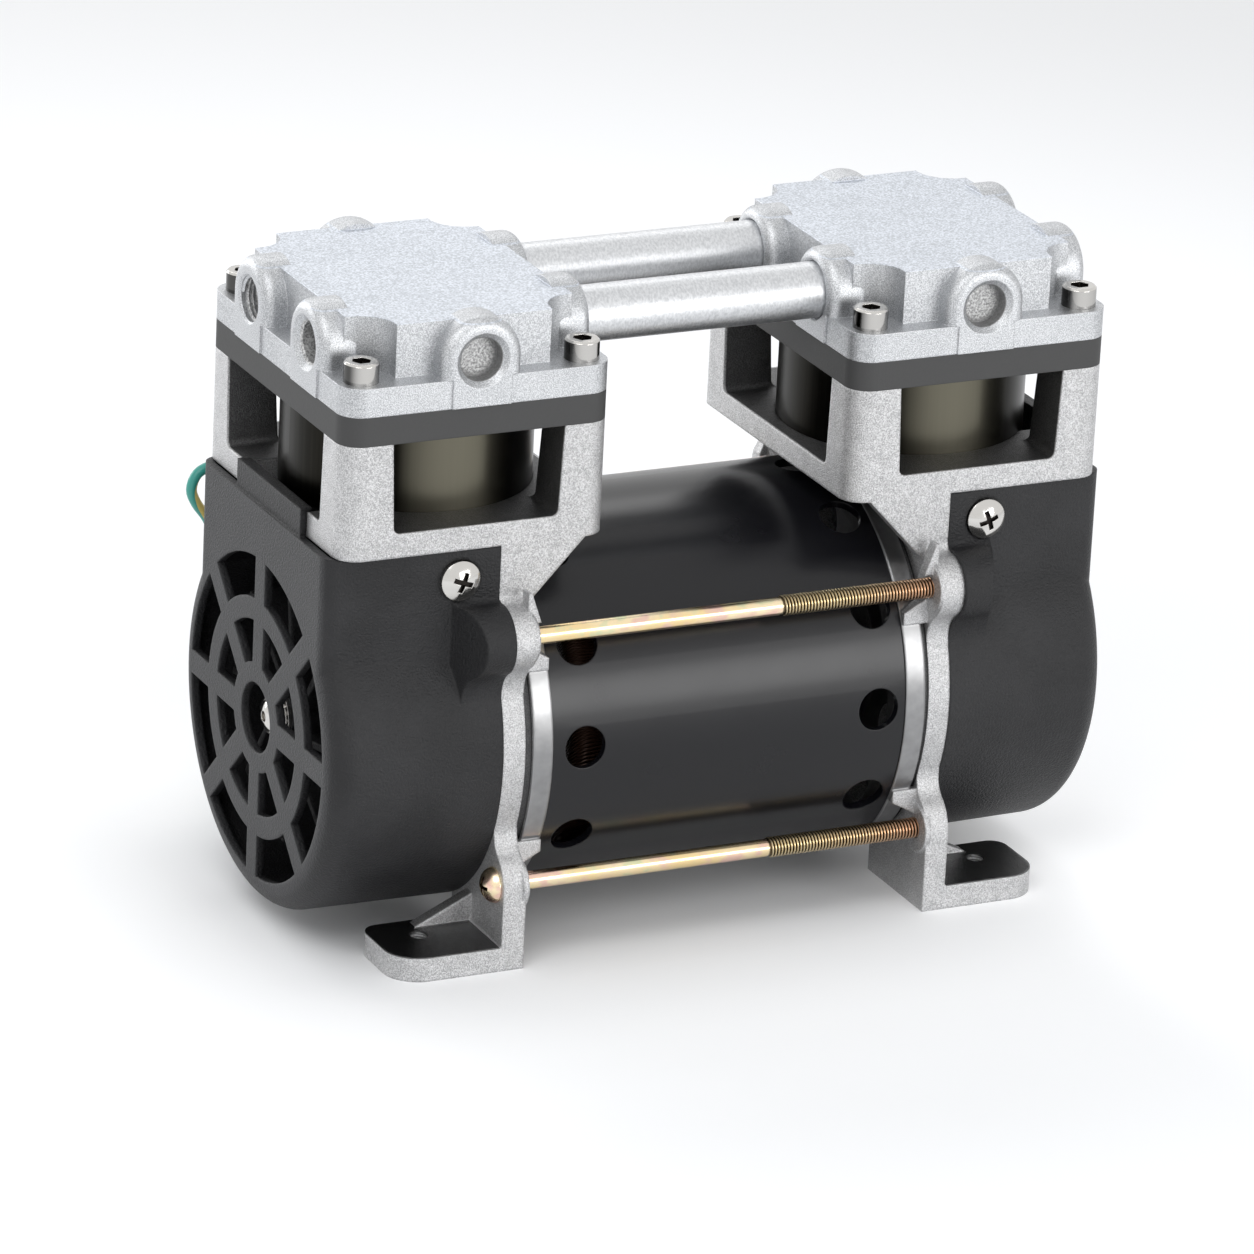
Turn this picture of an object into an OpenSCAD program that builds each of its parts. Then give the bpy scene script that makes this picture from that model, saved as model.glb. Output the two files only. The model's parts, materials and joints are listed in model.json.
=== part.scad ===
// Twin-cylinder rocking-piston vacuum pump, in millimetres.
// X runs along the motor shaft, Z is up, and Z = 0 is the floor under the feet.
// The front faces -Y. Each end is drawn at +X and mirrored for the -X end.

/* [Layout] */
// Height of the motor shaft above the floor
shaft_z = 61; // [59:0.5:65]
// Distance from the middle of the pump to each cylinder axis
cylinder_x = 78.5; // [78:0.25:80]
// Throw of each crank, half the piston stroke
crank_throw = 4; // [2:0.25:5]

/* [End casting] */
// Distance from the middle of the pump to the web's motor side
web_x = 63.5; // [63:0.25:64.5]
// Thickness of the upright web
web_t = 7; // [5:0.5:7.5]
// Radius of the web round the motor
web_r = 56.3; // [55:0.1:57]
// Length of the square frame, along the shaft
frame_l = 81.4; // [80:0.2:86]
// Width of the square frame, across the shaft
frame_w = 98; // [96:0.5:104]
// Radius of the frame's upright corners
corner_r = 7; // [4:0.5:9]
// Height of the underside of the base plate
base_z = 124; // [122:0.5:128]
// Thickness of the base plate
base_t = 7; // [5:0.5:9]
// Height of the windows between base plate and valve plate
window_h = 26.5; // [22:0.5:32]
// Width of each post at its top
post_w = 14.6; // [14:0.2:16]
// How much wider each post is at its foot
post_draft = 1; // [0:0.1:1.5]
// Radius in the lower corners of the windows
window_r = 2; // [1:0.25:3]
// Thickness of the gussets from frame to web
gusset_t = 6; // [4:0.5:8]
// How far the gussets' lower ends come below the lugs' tops
gusset_drop = 4.2; // [0:0.2:6]
// Radius of the bolt lugs on the web
lug_r = 9.3; // [8.5:0.1:10]
// How far the round bolt boss stands in from the web, towards the motor
lug_reach = 0.7; // [0.5:0.1:3]
// Radius of the hollow blends beside the lugs
lug_blend_r = 5; // [3:0.5:7]
// Radius of the bearing hub
hub_r = 23; // [21.5:0.5:25]
// Length of the machined rim that carries the motor shell
rim_l = 6; // [4:0.5:6.5]
// Width of the groove between rim and web
rim_groove = 1.7; // [1:0.1:2.5]
// Number of cooling holes through the web
web_vent_count = 8; // [6:1:8]
// Diameter of the cooling holes through the web
web_vent_d = 17; // [12:0.5:18]

/* [Feet] */
// Distance between foot holes along the shaft
foot_hole_x = 177.8; // [174:0.2:182]
// Distance between foot holes across the shaft
foot_hole_y = 88.9; // [86:0.1:92]
// Tapping diameter of the foot holes
foot_tap_d = 5; // [4:0.1:6.6]
// Thickness of the foot pads
foot_t = 7.3; // [5:0.1:9]
// Length of each foot pad outside the web
foot_l = 32; // [29:0.5:36]
// Distance from the middle to the outer edge of a foot
foot_y = 60.5; // [59.5:0.1:62]
// Width of each foot pad
foot_w = 27; // [24:0.5:28]
// Width of each leg at the floor
leg_w = 34.5; // [30:0.5:38]
// Radius of the pads' outer corners
foot_corner_r = 10; // [4:0.5:12]
// Height of the rib where it meets the web
rib_h = 8.5; // [5:0.25:9]
// Thickness of the rib
rib_t = 4; // [3:0.25:5]

/* [Motor] */
// Outside diameter of the motor shell
shell_d = 114.3; // [112:0.1:115]
// Wall thickness of the motor shell
shell_wall = 2.4; // [1.5:0.1:3]
// Diameter of the vent holes in the shell
vent_d = 12.5; // [8:0.5:14]
// Distance from the middle of the pump to each ring of vent holes
vent_x = 46.3; // [44:0.1:48]
// Number of vent holes in each ring
vent_count = 12; // [8:1:14]
// How far the ring of vent holes is turned up at the front, in degrees
vent_turn = 2.6; // [0:0.2:15]
// How far the rows of vent holes sit towards the right
vent_off = 0.8; // [-2:0.1:2]
// Length of the stator core
stator_l = 54; // [40:1:60]
// Number of stator slots
slot_count = 24; // [12:2:24]
// Diameter of the rotor
rotor_d = 62; // [56:0.5:66]
// Air gap between rotor and stator
air_gap = 0.5; // [0.3:0.05:0.8]
// Length of the end turns of the winding at each end
end_turn_l = 17; // [12:0.5:19]
// Shaft diameter in the rotor
shaft_d = 20; // [18:0.5:22]
// Shaft diameter at the cranks and fans
shaft_end_d = 12; // [10:0.5:13]

/* [Through bolts] */
// Thread diameter of the through bolts
bolt_d = 6; // [5:0.5:6.5]
// Shank diameter of the through bolts
bolt_shank_d = 5.2; // [4.4:0.1:5.4]
// Distance from the middle to the bolts, across the pump
bolt_y = 54; // [53.5:0.1:54.5]
// Distance from the shaft to the bolts, up and down
bolt_dz = 37; // [36:0.25:38]
// Diameter of the domed bolt heads
bolt_head_d = 10.5; // [9:0.1:11]
// Height of the domed bolt heads
bolt_head_h = 4.2; // [3:0.1:5]
// Where the thread begins, from the middle of the pump
bolt_thread_x = 15; // [0:1:40]
// How far the bolts stop short of the far web's outer face
bolt_end = 1.5; // [0.5:0.25:3]

/* [Cylinder] */
// Outside diameter of the cylinder sleeve
sleeve_d = 72; // [70:0.5:73]
// Wall thickness of the cylinder sleeve
sleeve_wall = 3; // [2.5:0.1:4]
// Depth of the sleeve's seat in the base plate
sleeve_seat = 3; // [2:0.25:4]
// Thickness of the valve plate
plate_t = 8.5; // [7:0.25:10]
// Diameter of the ports in the valve plate
valve_port_d = 6; // [4:0.25:7]
// Distance from the middle of the valve plate to its ports
valve_y = 17; // [15:0.5:19]

/* [Cylinder head] */
// Thickness of the head's flange
flange_t = 8.4; // [7:0.2:10]
// Height of the head's deck above the flange
deck_h = 15.6; // [14:0.2:18]
// Length of the deck
deck_l = 69; // [67:0.5:71]
// Width of the deck
deck_w = 85; // [82:0.5:87]
// Radius of the scallops round the screws
scallop_r = 10; // [8.5:0.25:11]
// Wall and roof thickness of the head
head_wall = 4.5; // [3:0.25:5]
// Radius of the arched bosses
boss_r = 12.3; // [11.8:0.1:13]
// Height of the bosses' axes above the flange
boss_h = 4.9; // [4:0.1:6]
// Radius of the rounded rims of the bosses
boss_fillet = 3.4; // [2:0.1:3.6]
// How far the bosses stand proud of the flange
boss_proud = 0.5; // [0.25:0.05:1]
// Distance from the middle to the tubes and end bosses
tube_y = 20; // [18:0.5:22]
// Diameter of the threaded port
port_d = 13.2; // [11.5:0.1:13.6]
// Diameter of the plain port
plain_port_d = 11.8; // [10:0.1:13]
// Diameter of the blind core holes
blind_d = 12.6; // [10:0.1:13]
// Depth of the blind core holes
blind_depth = 5.5; // [4:0.25:6]
// Diameter of the chamfer round the core holes
chamfer_d = 16; // [14.5:0.1:17]
// Thread diameter of the cap screws
cap_d = 6; // [5:0.5:6]
// Distance from the flange's edges to the cap screws
cap_inset = 7.25; // [6.5:0.05:7.5]
// Length of the cap screws under the head
cap_l = 30; // [26:1:34]

/* [Transfer tubes] */
// Outside diameter of the transfer tubes
tube_d = 16.3; // [14:0.1:17]
// Wall thickness of the transfer tubes
tube_wall = 1.6; // [1:0.1:2]
// Depth of the tube sockets in the heads
socket_l = 8; // [6:0.25:8.5]
// Thickness of the rubber seal rings
seal_t = 1.7; // [1.2:0.1:2]

/* [Fan cover] */
// Distance from the middle of the pump to the end of the cover
cover_x = 122; // [121:0.5:126]
// Wall thickness of the cover
cover_wall = 2.5; // [2:0.1:3]
// Radius of the cover's round part
cover_r = 56.4; // [55.5:0.1:57]
// Rounding of the end of the round part
cover_fillet = 7.5; // [5:0.25:8]
// Rounding of the upright corners of the cover
cover_corner_r = 5; // [3:0.25:6]
// How much each flat side leans in over its length
cover_draft = 3.5; // [0:0.1:4]
// Radius of the bulges over the bolt heads
bulge_r = 10.2; // [9.6:0.1:11]
// Length of the bulges over the bolt heads, at their outer side
bulge_l = 8.75; // [6.5:0.25:10]
// How much further the bulges' slanted ends reach where they meet the wall
bulge_ramp = 5; // [4:0.5:9]
// Width of the tongue at the top of the end wall
tongue_w = 45.4; // [30:0.2:50]
// How far the tongue is set towards the front
tongue_off = 2.2; // [-6:0.2:6]
// Height of the tongue above the base plate's underside
tongue_h = 8; // [5:0.25:10.5]
// How far the tongue is set back from the end face
tongue_back = 0.8; // [0:0.1:1.5]
// Outer radius of the outer grille slots
grille_r = 47.5; // [44:0.25:48.5]
// Inner radius of the outer grille slots
grille_mid_r = 35; // [33:0.25:37]
// Width of the ring between the rows of slots
grille_ring_w = 6.5; // [4:0.25:8]
// Width of the ring round the hub hole
hub_ring_w = 5.7; // [4:0.1:7]
// Radius of the hub hole
hub_hole_r = 10.3; // [8:0.1:12]
// Width of the grille's spokes
spoke_w = 7; // [5:0.25:9]
// Number of spokes
spoke_count = 8; // [6:1:10]
// Diameter of the cover screws' heads
cover_screw_head_d = 11.8; // [9:0.1:12]
// Thread diameter of the cover screws
cover_screw_d = 5; // [4:0.25:6]
// Distance from the web's outer face to the cover screws
cover_screw_x = 12; // [11:0.25:14]
// Distance from the base plate's underside down to the cover screws
cover_screw_drop = 9; // [8.5:0.25:11]

/* [Crank and piston] */
// Bore of the rod bearings
rod_bearing_id = 25; // [24:0.5:26]
// Outside diameter of the rod bearings
rod_bearing_od = 47; // [44:0.5:48]
// Width of the rod bearings
rod_bearing_w = 12; // [9:0.5:12]
// Ball diameter of the rod bearings
rod_ball_d = 6; // [5:0.25:6.5]
// Wall of the rod's big end
rod_end_wall = 4; // [3:0.25:5]
// Clearance between piston cup and sleeve beyond the crank's throw
piston_gap = 0.5; // [0.4:0.1:1]
// Clearance between piston and valve plate at the top of the stroke
head_clearance = 2.6; // [2.4:0.1:3.5]
// Bore of the main bearings
main_bearing_id = 15; // [14:0.5:17]
// Outside diameter of the main bearings
main_bearing_od = 35; // [32:0.5:36]
// Width of the main bearings
main_bearing_w = 11; // [9:0.5:11]
// Ball diameter of the main bearings
main_ball_d = 4.4; // [4:0.2:5]
// Number of balls in each bearing
ball_count = 8; // [6:1:9]

/* [Fan] */
// Radius of the fans
fan_r = 43; // [38:0.5:45]
// Length of the fans along the shaft
fan_l = 16; // [12:0.5:17]
// Number of blades
blade_count = 8; // [6:1:10]
// Thickness of the blades
blade_t = 2; // [1.5:0.25:3]

/* [Earth lead] */
// Diameter of the earth lead
lead_d = 3.2; // [2.4:0.1:3.4]
// Mean radius of the stored coil
coil_r = 17; // [16:0.2:19]

/* [Hidden] */
$fn = 64;

// Clearances
fit = 0.1;         // round parts that slip into one another
press = 0.03;      // round parts that are pressed together
gap = 0.3;         // parts that pass close by
screw_gap = 0.2;   // screws in their clearance holes
eps = 1;           // how far a cut runs past a face

// Heights of the stacked parts
frame_top = base_z + base_t + window_h;
head_z = frame_top + plate_t;
deck_z = head_z + flange_t + deck_h;
boss_z = head_z + flange_t + boss_h;

// Places along the shaft, at the +X end
web_out = web_x + web_t;
rim_x = web_x - rim_groove - rim_l;
shell_l = 2 * rim_x;
rod_x = cylinder_x - rod_bearing_w / 2;
rod_out = cylinder_x + rod_bearing_w / 2;
crank_flange_t = 3;
weight_t = 6;
crank_end = rod_out + gap + crank_flange_t + weight_t;
fan_x = crank_end + 3;
shaft_end_x = fan_x + fan_l + 1;
cap_x = frame_l / 2 - cap_inset;
cap_y = frame_w / 2 - cap_inset;
main_bearing_x = web_out - 1.5 - main_bearing_w;

// Radii and other sizes
bore_r = sleeve_d / 2 - sleeve_wall;
piston_r = bore_r - crank_throw - piston_gap;
shell_r = shell_d / 2;
rim_r = shell_r + 0.5;
stator_r = shell_r - shell_wall - fit;
rotor_r = rotor_d / 2;
rod_end_r = rod_bearing_od / 2 + rod_end_wall;
crown_z = frame_top - head_clearance - crank_throw - shaft_z;
lug_y = bolt_y - 2;
notch_x = cylinder_x + 25.5;
notch_w = tongue_w - 1;
leg_in = foot_y - leg_w;
boss_end = boss_r - boss_fillet;
chamber_l = deck_l - 2 * head_wall;
chamber_w = deck_w - 2 * head_wall;
reed_t = 0.4;
reed_l = 26;
reed_w = 13;
reed_root = -12;
reed_angle = 4;
clamp_l = 6;
clamp_t = 1;
gasket_t = 0.6;
gasket_wall = 3.5;
cover_screw_z = base_z - cover_screw_drop;

// Height of a crank's centre: the left crank is up while the right one is down
function crank_z(s) = shaft_z - s * crank_throw;

// Half width of the fan cover at x, outside
function cover_side(x) =
    frame_w / 2 - cover_draft * (x - web_out) / (cover_x - cover_corner_r - web_out);

// Route of the earth lead, from the grommet to the coil behind the pump
lead_points = [[-103, 51, 114], [-103.4, 55, 114.4], [-106.4, 58.4, 115.4],
    [-112, 59.4, 115.5], [-116.8, 59.4, 113.6], [-118.6, 59.4, 109], [-116.8, 59.6, 104.3],
    [-113, 60, 99], [-109.5, 60.6, 91], [-105, 62, 78], [-101, 64, 62],
    [-98, 65.5, 45], [-95.5, 67, 29.5], [-92, 69.5, 16.5], [-86.5, 73, 7],
    [-79, 78, 2.5], [-70, 81.5, 1.7], [-60, 82.6, 1.7], [-50, 82.6, 1.7]];
tail_points = [[-50, 116.6, 4.9], [-57.5, 116, 4.5], [-64.5, 113.4, 3.3], [-70.3, 109, 2.1],
    [-74.2, 103.5, 1.7]];
coil_centre = [-50, 99.6];
grommet_at = [cover_x - 19, base_z - 10];

// Draws a part that is modelled at +X at either end
module on_side(s) {
    if (s > 0) children();
    else mirror([1, 0, 0]) children();
}

// Stands a Y-Z outline up and extrudes it along X
module along_x(x, l) {
    translate([x, 0, 0]) rotate([90, 0, 90]) linear_extrude(l) children();
}

// A round bar along X
module bar_x(x, l, r, y = 0, z = shaft_z) {
    translate([x, y, z]) rotate([0, 90, 0]) cylinder(r = r, h = l);
}

// A round bar along Y, from y towards +Y
module bar_y(x, y, z, l, r) {
    translate([x, y, z]) rotate([-90, 0, 0]) cylinder(r = r, h = l);
}

// A revolved profile about an axis along X: profile x is the radius, y the place along X
module turned_x(x = 0, y = 0, z = shaft_z) {
    translate([x, y, z]) rotate([90, 0, 90]) rotate_extrude() children();
}

module rounded_rect(l, w, r) {
    square([l - 2 * r, w], center = true);
    square([l, w - 2 * r], center = true);
    for (sx = [-1, 1], sy = [-1, 1])
        translate([sx * (l / 2 - r), sy * (w / 2 - r)]) circle(r);
}

// A wedge between two circles that meet, hollowed by a third that just cuts into both
module blend(c1, r1, c2, r2, r, side) {
    d = norm(c2 - c1);
    a = (pow(r1 + r, 2) - pow(r2 + r, 2) + d * d) / (2 * d);
    h = sqrt(max(pow(r1 + r, 2) - a * a, 0));
    u = (c2 - c1) / d;
    f = c1 + a * u + side * h * [-u[1], u[0]];
    difference() {
        polygon([c1, f, c2]);
        translate(f) circle(r + 0.03);
    }
}

// A wedge between the wall at y = w and a lug above or below, hollowed by a circle
module wall_blend(w, c, r1, r, side) {
    f = [w + r, c[1] + side * sqrt(pow(r1 + r, 2) - pow(w + r - c[0], 2))];
    difference() {
        polygon([c, f, [w, f[1]], [w - 5, f[1]], [w - 5, c[1]]]);
        translate(f) circle(r + 0.03);
    }
}

// Half of the web's outline, for y above 0
module half_web_outline() {
    up = [lug_y, shaft_z + bolt_dz - 0.5];
    low = [foot_y - lug_r - 2.2, shaft_z - bolt_dz - 0.5];
    low_r = foot_y - low[0];
    axle = [0, shaft_z];
    intersection() {
        translate(axle) circle(web_r);
        translate([-eps, 0]) square([web_r + 2 * eps, shaft_z + web_r]);
    }
    translate([-eps, shaft_z]) square([frame_w / 2 + eps, base_z - shaft_z]);
    translate(up) circle(lug_r);
    wall_blend(frame_w / 2, up, lug_r, lug_blend_r * 0.6, 1);
    blend(axle, web_r, up, lug_r, lug_blend_r * 2, -1);
    translate(low) circle(low_r);
    blend(low, low_r, axle, web_r, lug_blend_r * 1.6, -1);
    translate([leg_in, 0]) square([foot_y - leg_in, low[1]]);
    translate([leg_in, 0]) square([low[0] - leg_in, shaft_z - bolt_dz / 2]);
}

module web_outline() {
    half_web_outline();
    mirror([1, 0]) half_web_outline();
}

// A window outline: wide at its top, with rounded lower corners
module window_outline(w) {
    foot = w / 2 - post_draft;
    polygon([[-w / 2, window_h + eps], [-w / 2, window_h], [-foot, window_r],
        [window_r - foot, 0], [foot - window_r, 0], [foot, window_r],
        [w / 2, window_h], [w / 2, window_h + eps]]);
    for (s = [-1, 1]) translate([s * (foot - window_r), window_r]) circle(window_r);
}

module frame_block() {
    translate([cylinder_x, 0, base_z]) linear_extrude(base_t + window_h)
        rounded_rect(frame_l, frame_w, corner_r);
}

module frame_windows() {
    translate([cylinder_x, frame_w / 2 + eps, base_z + base_t]) rotate([90, 0, 0])
        linear_extrude(frame_w + 2 * eps) window_outline(frame_l - 2 * post_w);
    translate([0, 0, base_z + base_t])
        along_x(cylinder_x - frame_l / 2 - eps, frame_l + 2 * eps)
            window_outline(frame_w - 2 * post_w);
}

// The slanted plate that ties the frame's inner edge to the web
module gusset() {
    x0 = cylinder_x - frame_l / 2;
    low = shaft_z + bolt_dz + lug_r - gusset_drop;
    translate([0, frame_w / 2, 0]) rotate([90, 0, 0]) linear_extrude(gusset_t)
        polygon([[x0 + corner_r, base_z + 1], [x0 + corner_r, base_z],
            [web_x - 2, low + 3], [web_x + 1, low], [web_x + 1, base_z + 1]]);
}

// The pad, its rounded outer corners and its rib
module foot() {
    y0 = foot_y - foot_w;
    small_r = foot_corner_r / 2;
    end = web_out + foot_l;
    linear_extrude(foot_t) {
        translate([web_out - 1, y0]) square([foot_l + 1 - foot_corner_r, foot_w]);
        translate([web_out, y0 + small_r])
            square([foot_l, foot_w - small_r - foot_corner_r]);
        translate([web_out, y0]) square([foot_l - small_r, foot_w / 2]);
        translate([end - foot_corner_r, foot_y - foot_corner_r]) circle(foot_corner_r);
        translate([end - small_r, y0 + small_r]) circle(small_r);
    }
    translate([0, y0 + 2 + rib_t, 0]) rotate([90, 0, 0]) linear_extrude(rib_t)
        polygon([[web_out - 1, foot_t - 1], [web_out + 18, foot_t - 1],
            [web_out + 18, foot_t], [web_out, foot_t + rib_h],
            [web_out - 1, foot_t + rib_h]]);
}

// The bosses inside the frame that the cover screws go into
module cover_screw_boss() {
    x = web_out + cover_screw_x;
    face = cover_side(x + 6) - cover_wall - gap;
    translate([x - 6, face - 10, cover_screw_z - 6])
        cube([12, 10, cover_screw_drop + 6 + 1]);
}

// The wedge from the rim to the web on the shaft's side of a bolt
module rim_wedge() {
    y1 = rim_r - 5;
    low = bolt_dz - 11.4;
    translate([0, y1, 0]) rotate([90, 0, 0]) linear_extrude(y1 - shell_r + 8)
        polygon([[rim_x + 0.2, low], [web_x + 1, low], [web_x + 1, low + 7.8],
            [web_x, low + 7.8], [rim_x + 0.2, low + 3.6]]);
}

// The small wedge on the web above an upper bolt
module web_wedge() {
    low = shaft_z + bolt_dz + 4.4;
    translate([0, rim_r - 2, 0]) rotate([90, 0, 0]) linear_extrude(4)
        polygon([[web_x - 3.2, low], [web_x + 1, low], [web_x + 1, low + 9],
            [web_x, low + 9]]);
}

// Frame, web, gussets, feet and bosses, before the holes are made
module casting_body() {
    difference() {
        frame_block();
        frame_windows();
    }
    difference() {
        union() {
            along_x(web_x, web_t) web_outline();
            bar_x(rim_x, rim_l, rim_r);
            bar_x(web_x - rim_groove - eps, rim_groove + 2 * eps, rim_r - 2);
            bar_x(rim_x - 2, 3, shell_r - shell_wall - fit);
        }
        bar_x(rim_x - 2 - eps, web_x - rim_x + 2 + eps, shell_r - shell_wall - 5);
    }
    bar_x(main_bearing_x - 2, web_out - main_bearing_x + 2, hub_r);
    for (sy = [0, 1]) mirror([0, sy, 0]) {
        gusset();
        foot();
        cover_screw_boss();
        for (sz = [-1, 1]) {
            bar_x(web_x - lug_reach, lug_reach + 1, lug_r - 2, bolt_y, shaft_z + sz * bolt_dz);
            translate([0, 0, shaft_z]) mirror([0, 0, (1 - sz) / 2]) rim_wedge();
        }
        web_wedge();
    }
}

module end_casting(s) {
    color([0.74, 0.75, 0.76]) on_side(s) difference() {
        casting_body();
        casting_holes(s);
    }
}

module casting_holes(s) {
    // Bearing seat and the shaft's way out
    bar_x(main_bearing_x - 2 - eps, main_bearing_w + 2 + eps, main_bearing_od / 2 + press);
    bar_x(web_x, web_t + eps, main_bearing_od / 2 - 5);
    // Sleeve seat and the opening under it
    translate([cylinder_x, 0, base_z + base_t - sleeve_seat])
        cylinder(r = sleeve_d / 2 + fit, h = sleeve_seat + eps);
    translate([cylinder_x, 0, base_z - eps]) cylinder(r = bore_r, h = base_t + 2 * eps);
    // Cooling holes through the web
    for (i = [0 : web_vent_count - 1])
        rotate_about_shaft(i * 360 / web_vent_count + 22.5)
            bar_x(web_x - eps, web_t + 2 * eps, web_vent_d / 2,
                0, shaft_z + (hub_r + web_r - 5) / 2 + 0.8);
    // Notch at the outer end of the base plate, which the cover's tongue closes
    translate([notch_x, -notch_w / 2 - tongue_off, base_z - eps])
        cube([cover_x - notch_x, notch_w, base_t + 2 * eps]);
    // Through bolts: clear at the heads, tapped at the far end
    for (sy = [-1, 1], sz = [-1, 1])
        bar_x(web_x - lug_reach - eps, web_t + lug_reach + 2 * eps,
            bolt_d / 2 + (s < 0 ? screw_gap : 0.05), sy * bolt_y, shaft_z + sz * bolt_dz);
    // Tapped holes for the cap screws, down into the posts
    for (sx = [-1, 1], sy = [-1, 1])
        translate([cylinder_x + sx * cap_x, sy * cap_y, head_z + flange_t - cap_l - 2])
            cylinder(r = cap_d / 2 + 0.05, h = frame_top - head_z - flange_t + cap_l + 2 + eps);
    // Foot holes and cover screw holes
    for (sy = [-1, 1]) {
        translate([foot_hole_x / 2, sy * foot_hole_y / 2, -eps])
            cylinder(d = foot_tap_d, h = foot_t + 2 * eps);
        translate([web_out + cover_screw_x, 0, cover_screw_z]) rotate([-90 * sy, 0, 0])
            translate([0, 0, frame_w / 2 - 13])
                cylinder(r = cover_screw_d / 2 + 0.05, h = 13);
    }
}

module rotate_about_shaft(a) {
    translate([0, 0, shaft_z]) rotate([a, 0, 0]) translate([0, 0, -shaft_z]) children();
}

// The head's deck outline: a block with a scallop round each screw
module deck_outline(inset) {
    difference() {
        square([deck_l - 2 * inset, deck_w - 2 * inset], center = true);
        for (sx = [-1, 1], sy = [-1, 1])
            translate([sx * cap_x, sy * cap_y]) circle(scallop_r + inset);
    }
}

// An arched boss pointing along +X, from x0 out to x1, over the flange
module arch_boss(x0, x1) {
    l = x1 - x0;
    translate([x0, 0, flange_t + boss_h]) rotate([90, 0, 90]) rotate_extrude() {
        square([boss_r, l - boss_fillet]);
        square([boss_end, l]);
        translate([boss_end, l - boss_fillet]) circle(boss_fillet);
    }
    translate([0, 0, flange_t]) linear_extrude(boss_h) {
        translate([x0, -boss_r]) square([l - boss_fillet, 2 * boss_r]);
        translate([x0, -boss_end]) square([l, 2 * boss_end]);
        for (s = [-1, 1])
            translate([x1 - boss_fillet, s * boss_end]) circle(boss_fillet);
    }
    translate([x1 - boss_proud - 1, -boss_end, 0])
        cube([boss_proud + 1, 2 * boss_end, flange_t + boss_h]);
}

// A hole into a boss from its face at x1, with a chamfered rim
module boss_hole(x1, d, depth, rim_d) {
    rim = (rim_d - d) / 2;
    translate([x1, 0, flange_t + boss_h]) rotate([90, 0, 90]) {
        translate([0, 0, -depth]) cylinder(d = d, h = depth + eps);
        if (rim > 0) translate([0, 0, -rim])
            cylinder(r1 = d / 2, r2 = d / 2 + rim + eps, h = rim + eps);
    }
}

module cylinder_head(s) {
    x_end = frame_l / 2 + boss_proud;
    y_end = frame_w / 2 + boss_proud;
    wall_x = chamber_l / 2;
    color([0.80, 0.81, 0.82]) on_side(s) translate([cylinder_x, 0, head_z]) difference() {
        union() {
            linear_extrude(flange_t) rounded_rect(frame_l, frame_w, corner_r);
            linear_extrude(flange_t + deck_h) deck_outline(0);
            for (sy = [-1, 1], r = [0, 180])
                rotate([0, 0, r]) translate([0, sy * tube_y, 0]) arch_boss(wall_x + 1, x_end);
            for (r = [90, -90]) rotate([0, 0, r]) arch_boss(chamber_w / 2 + 1, y_end);
        }
        // Intake and exhaust chambers, parted by a wall along the shaft
        for (sy = [-1, 1]) translate([0, 0, -eps])
            linear_extrude(flange_t + deck_h - head_wall + eps) intersection() {
                deck_outline(head_wall);
                translate([-deck_l / 2, sy > 0 ? 2.5 : -2.5 - deck_w / 2])
                    square([deck_l, deck_w / 2]);
            }
        // Screw holes
        for (sx = [-1, 1], sy = [-1, 1]) translate([sx * cap_x, sy * cap_y, -eps])
            cylinder(r = cap_d / 2 + screw_gap, h = flange_t + 2 * eps);
        // Tube sockets with their seal grooves, towards the other head
        for (sy = [-1, 1]) mirror([1, 0, 0]) translate([0, sy * tube_y, 0]) {
            boss_hole(x_end, tube_d + 2 * fit, socket_l, tube_d + 1.5);
            boss_hole(x_end, tube_d - 4, x_end - wall_x + eps, 0);
            translate([x_end - socket_l / 2, 0, flange_t + boss_h]) rotate([90, 0, 90])
                cylinder(r = tube_d / 2 + fit + seal_t + 0.05, h = seal_t + 0.3,
                    center = true);
        }
        // Outer end: ports on the left head, blind core holes on the right one
        translate([0, tube_y, 0]) {
            if (s < 0) boss_hole(x_end, port_d, x_end - wall_x + eps, port_d + 1.2);
            else boss_hole(x_end, blind_d, blind_depth, chamfer_d);
        }
        translate([0, -tube_y, 0]) {
            if (s < 0) boss_hole(x_end, plain_port_d, x_end - wall_x + eps, chamfer_d);
            else boss_hole(x_end, blind_d, blind_depth, chamfer_d);
        }
        for (r = [90, -90]) rotate([0, 0, r])
            boss_hole(y_end, blind_d, blind_depth, chamfer_d);
    }
}

module valve_plate(s) {
    color([0.22, 0.22, 0.23]) on_side(s) translate([cylinder_x, 0, frame_top]) difference() {
        linear_extrude(plate_t) rounded_rect(frame_l, frame_w, corner_r);
        for (sx = [-1, 1], sy = [-1, 1]) translate([sx * cap_x, sy * cap_y, -eps])
            cylinder(r = cap_d / 2 + screw_gap, h = plate_t + 2 * eps);
        for (sy = [-1, 1]) {
            for (x = [0, 9]) translate([x, sy * valve_y, -eps])
                cylinder(d = valve_port_d, h = plate_t + 2 * eps);
            for (y = [-3.5, 3.5])
                translate([reed_root - clamp_l / 2, sy * valve_y + y, -eps])
                    cylinder(r = 1.5 + 0.05, h = plate_t + 2 * eps);
        }
        translate([0, 0, -eps]) difference() {
            cylinder(r = sleeve_d / 2 - 0.7, h = 1 + eps);
            translate([0, 0, -eps]) cylinder(r = bore_r + 0.7, h = 1 + 3 * eps);
        }
        translate([0, 0, plate_t - gasket_t]) linear_extrude(gasket_t + eps)
            deck_outline(head_wall - gasket_wall);
    }
}

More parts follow.
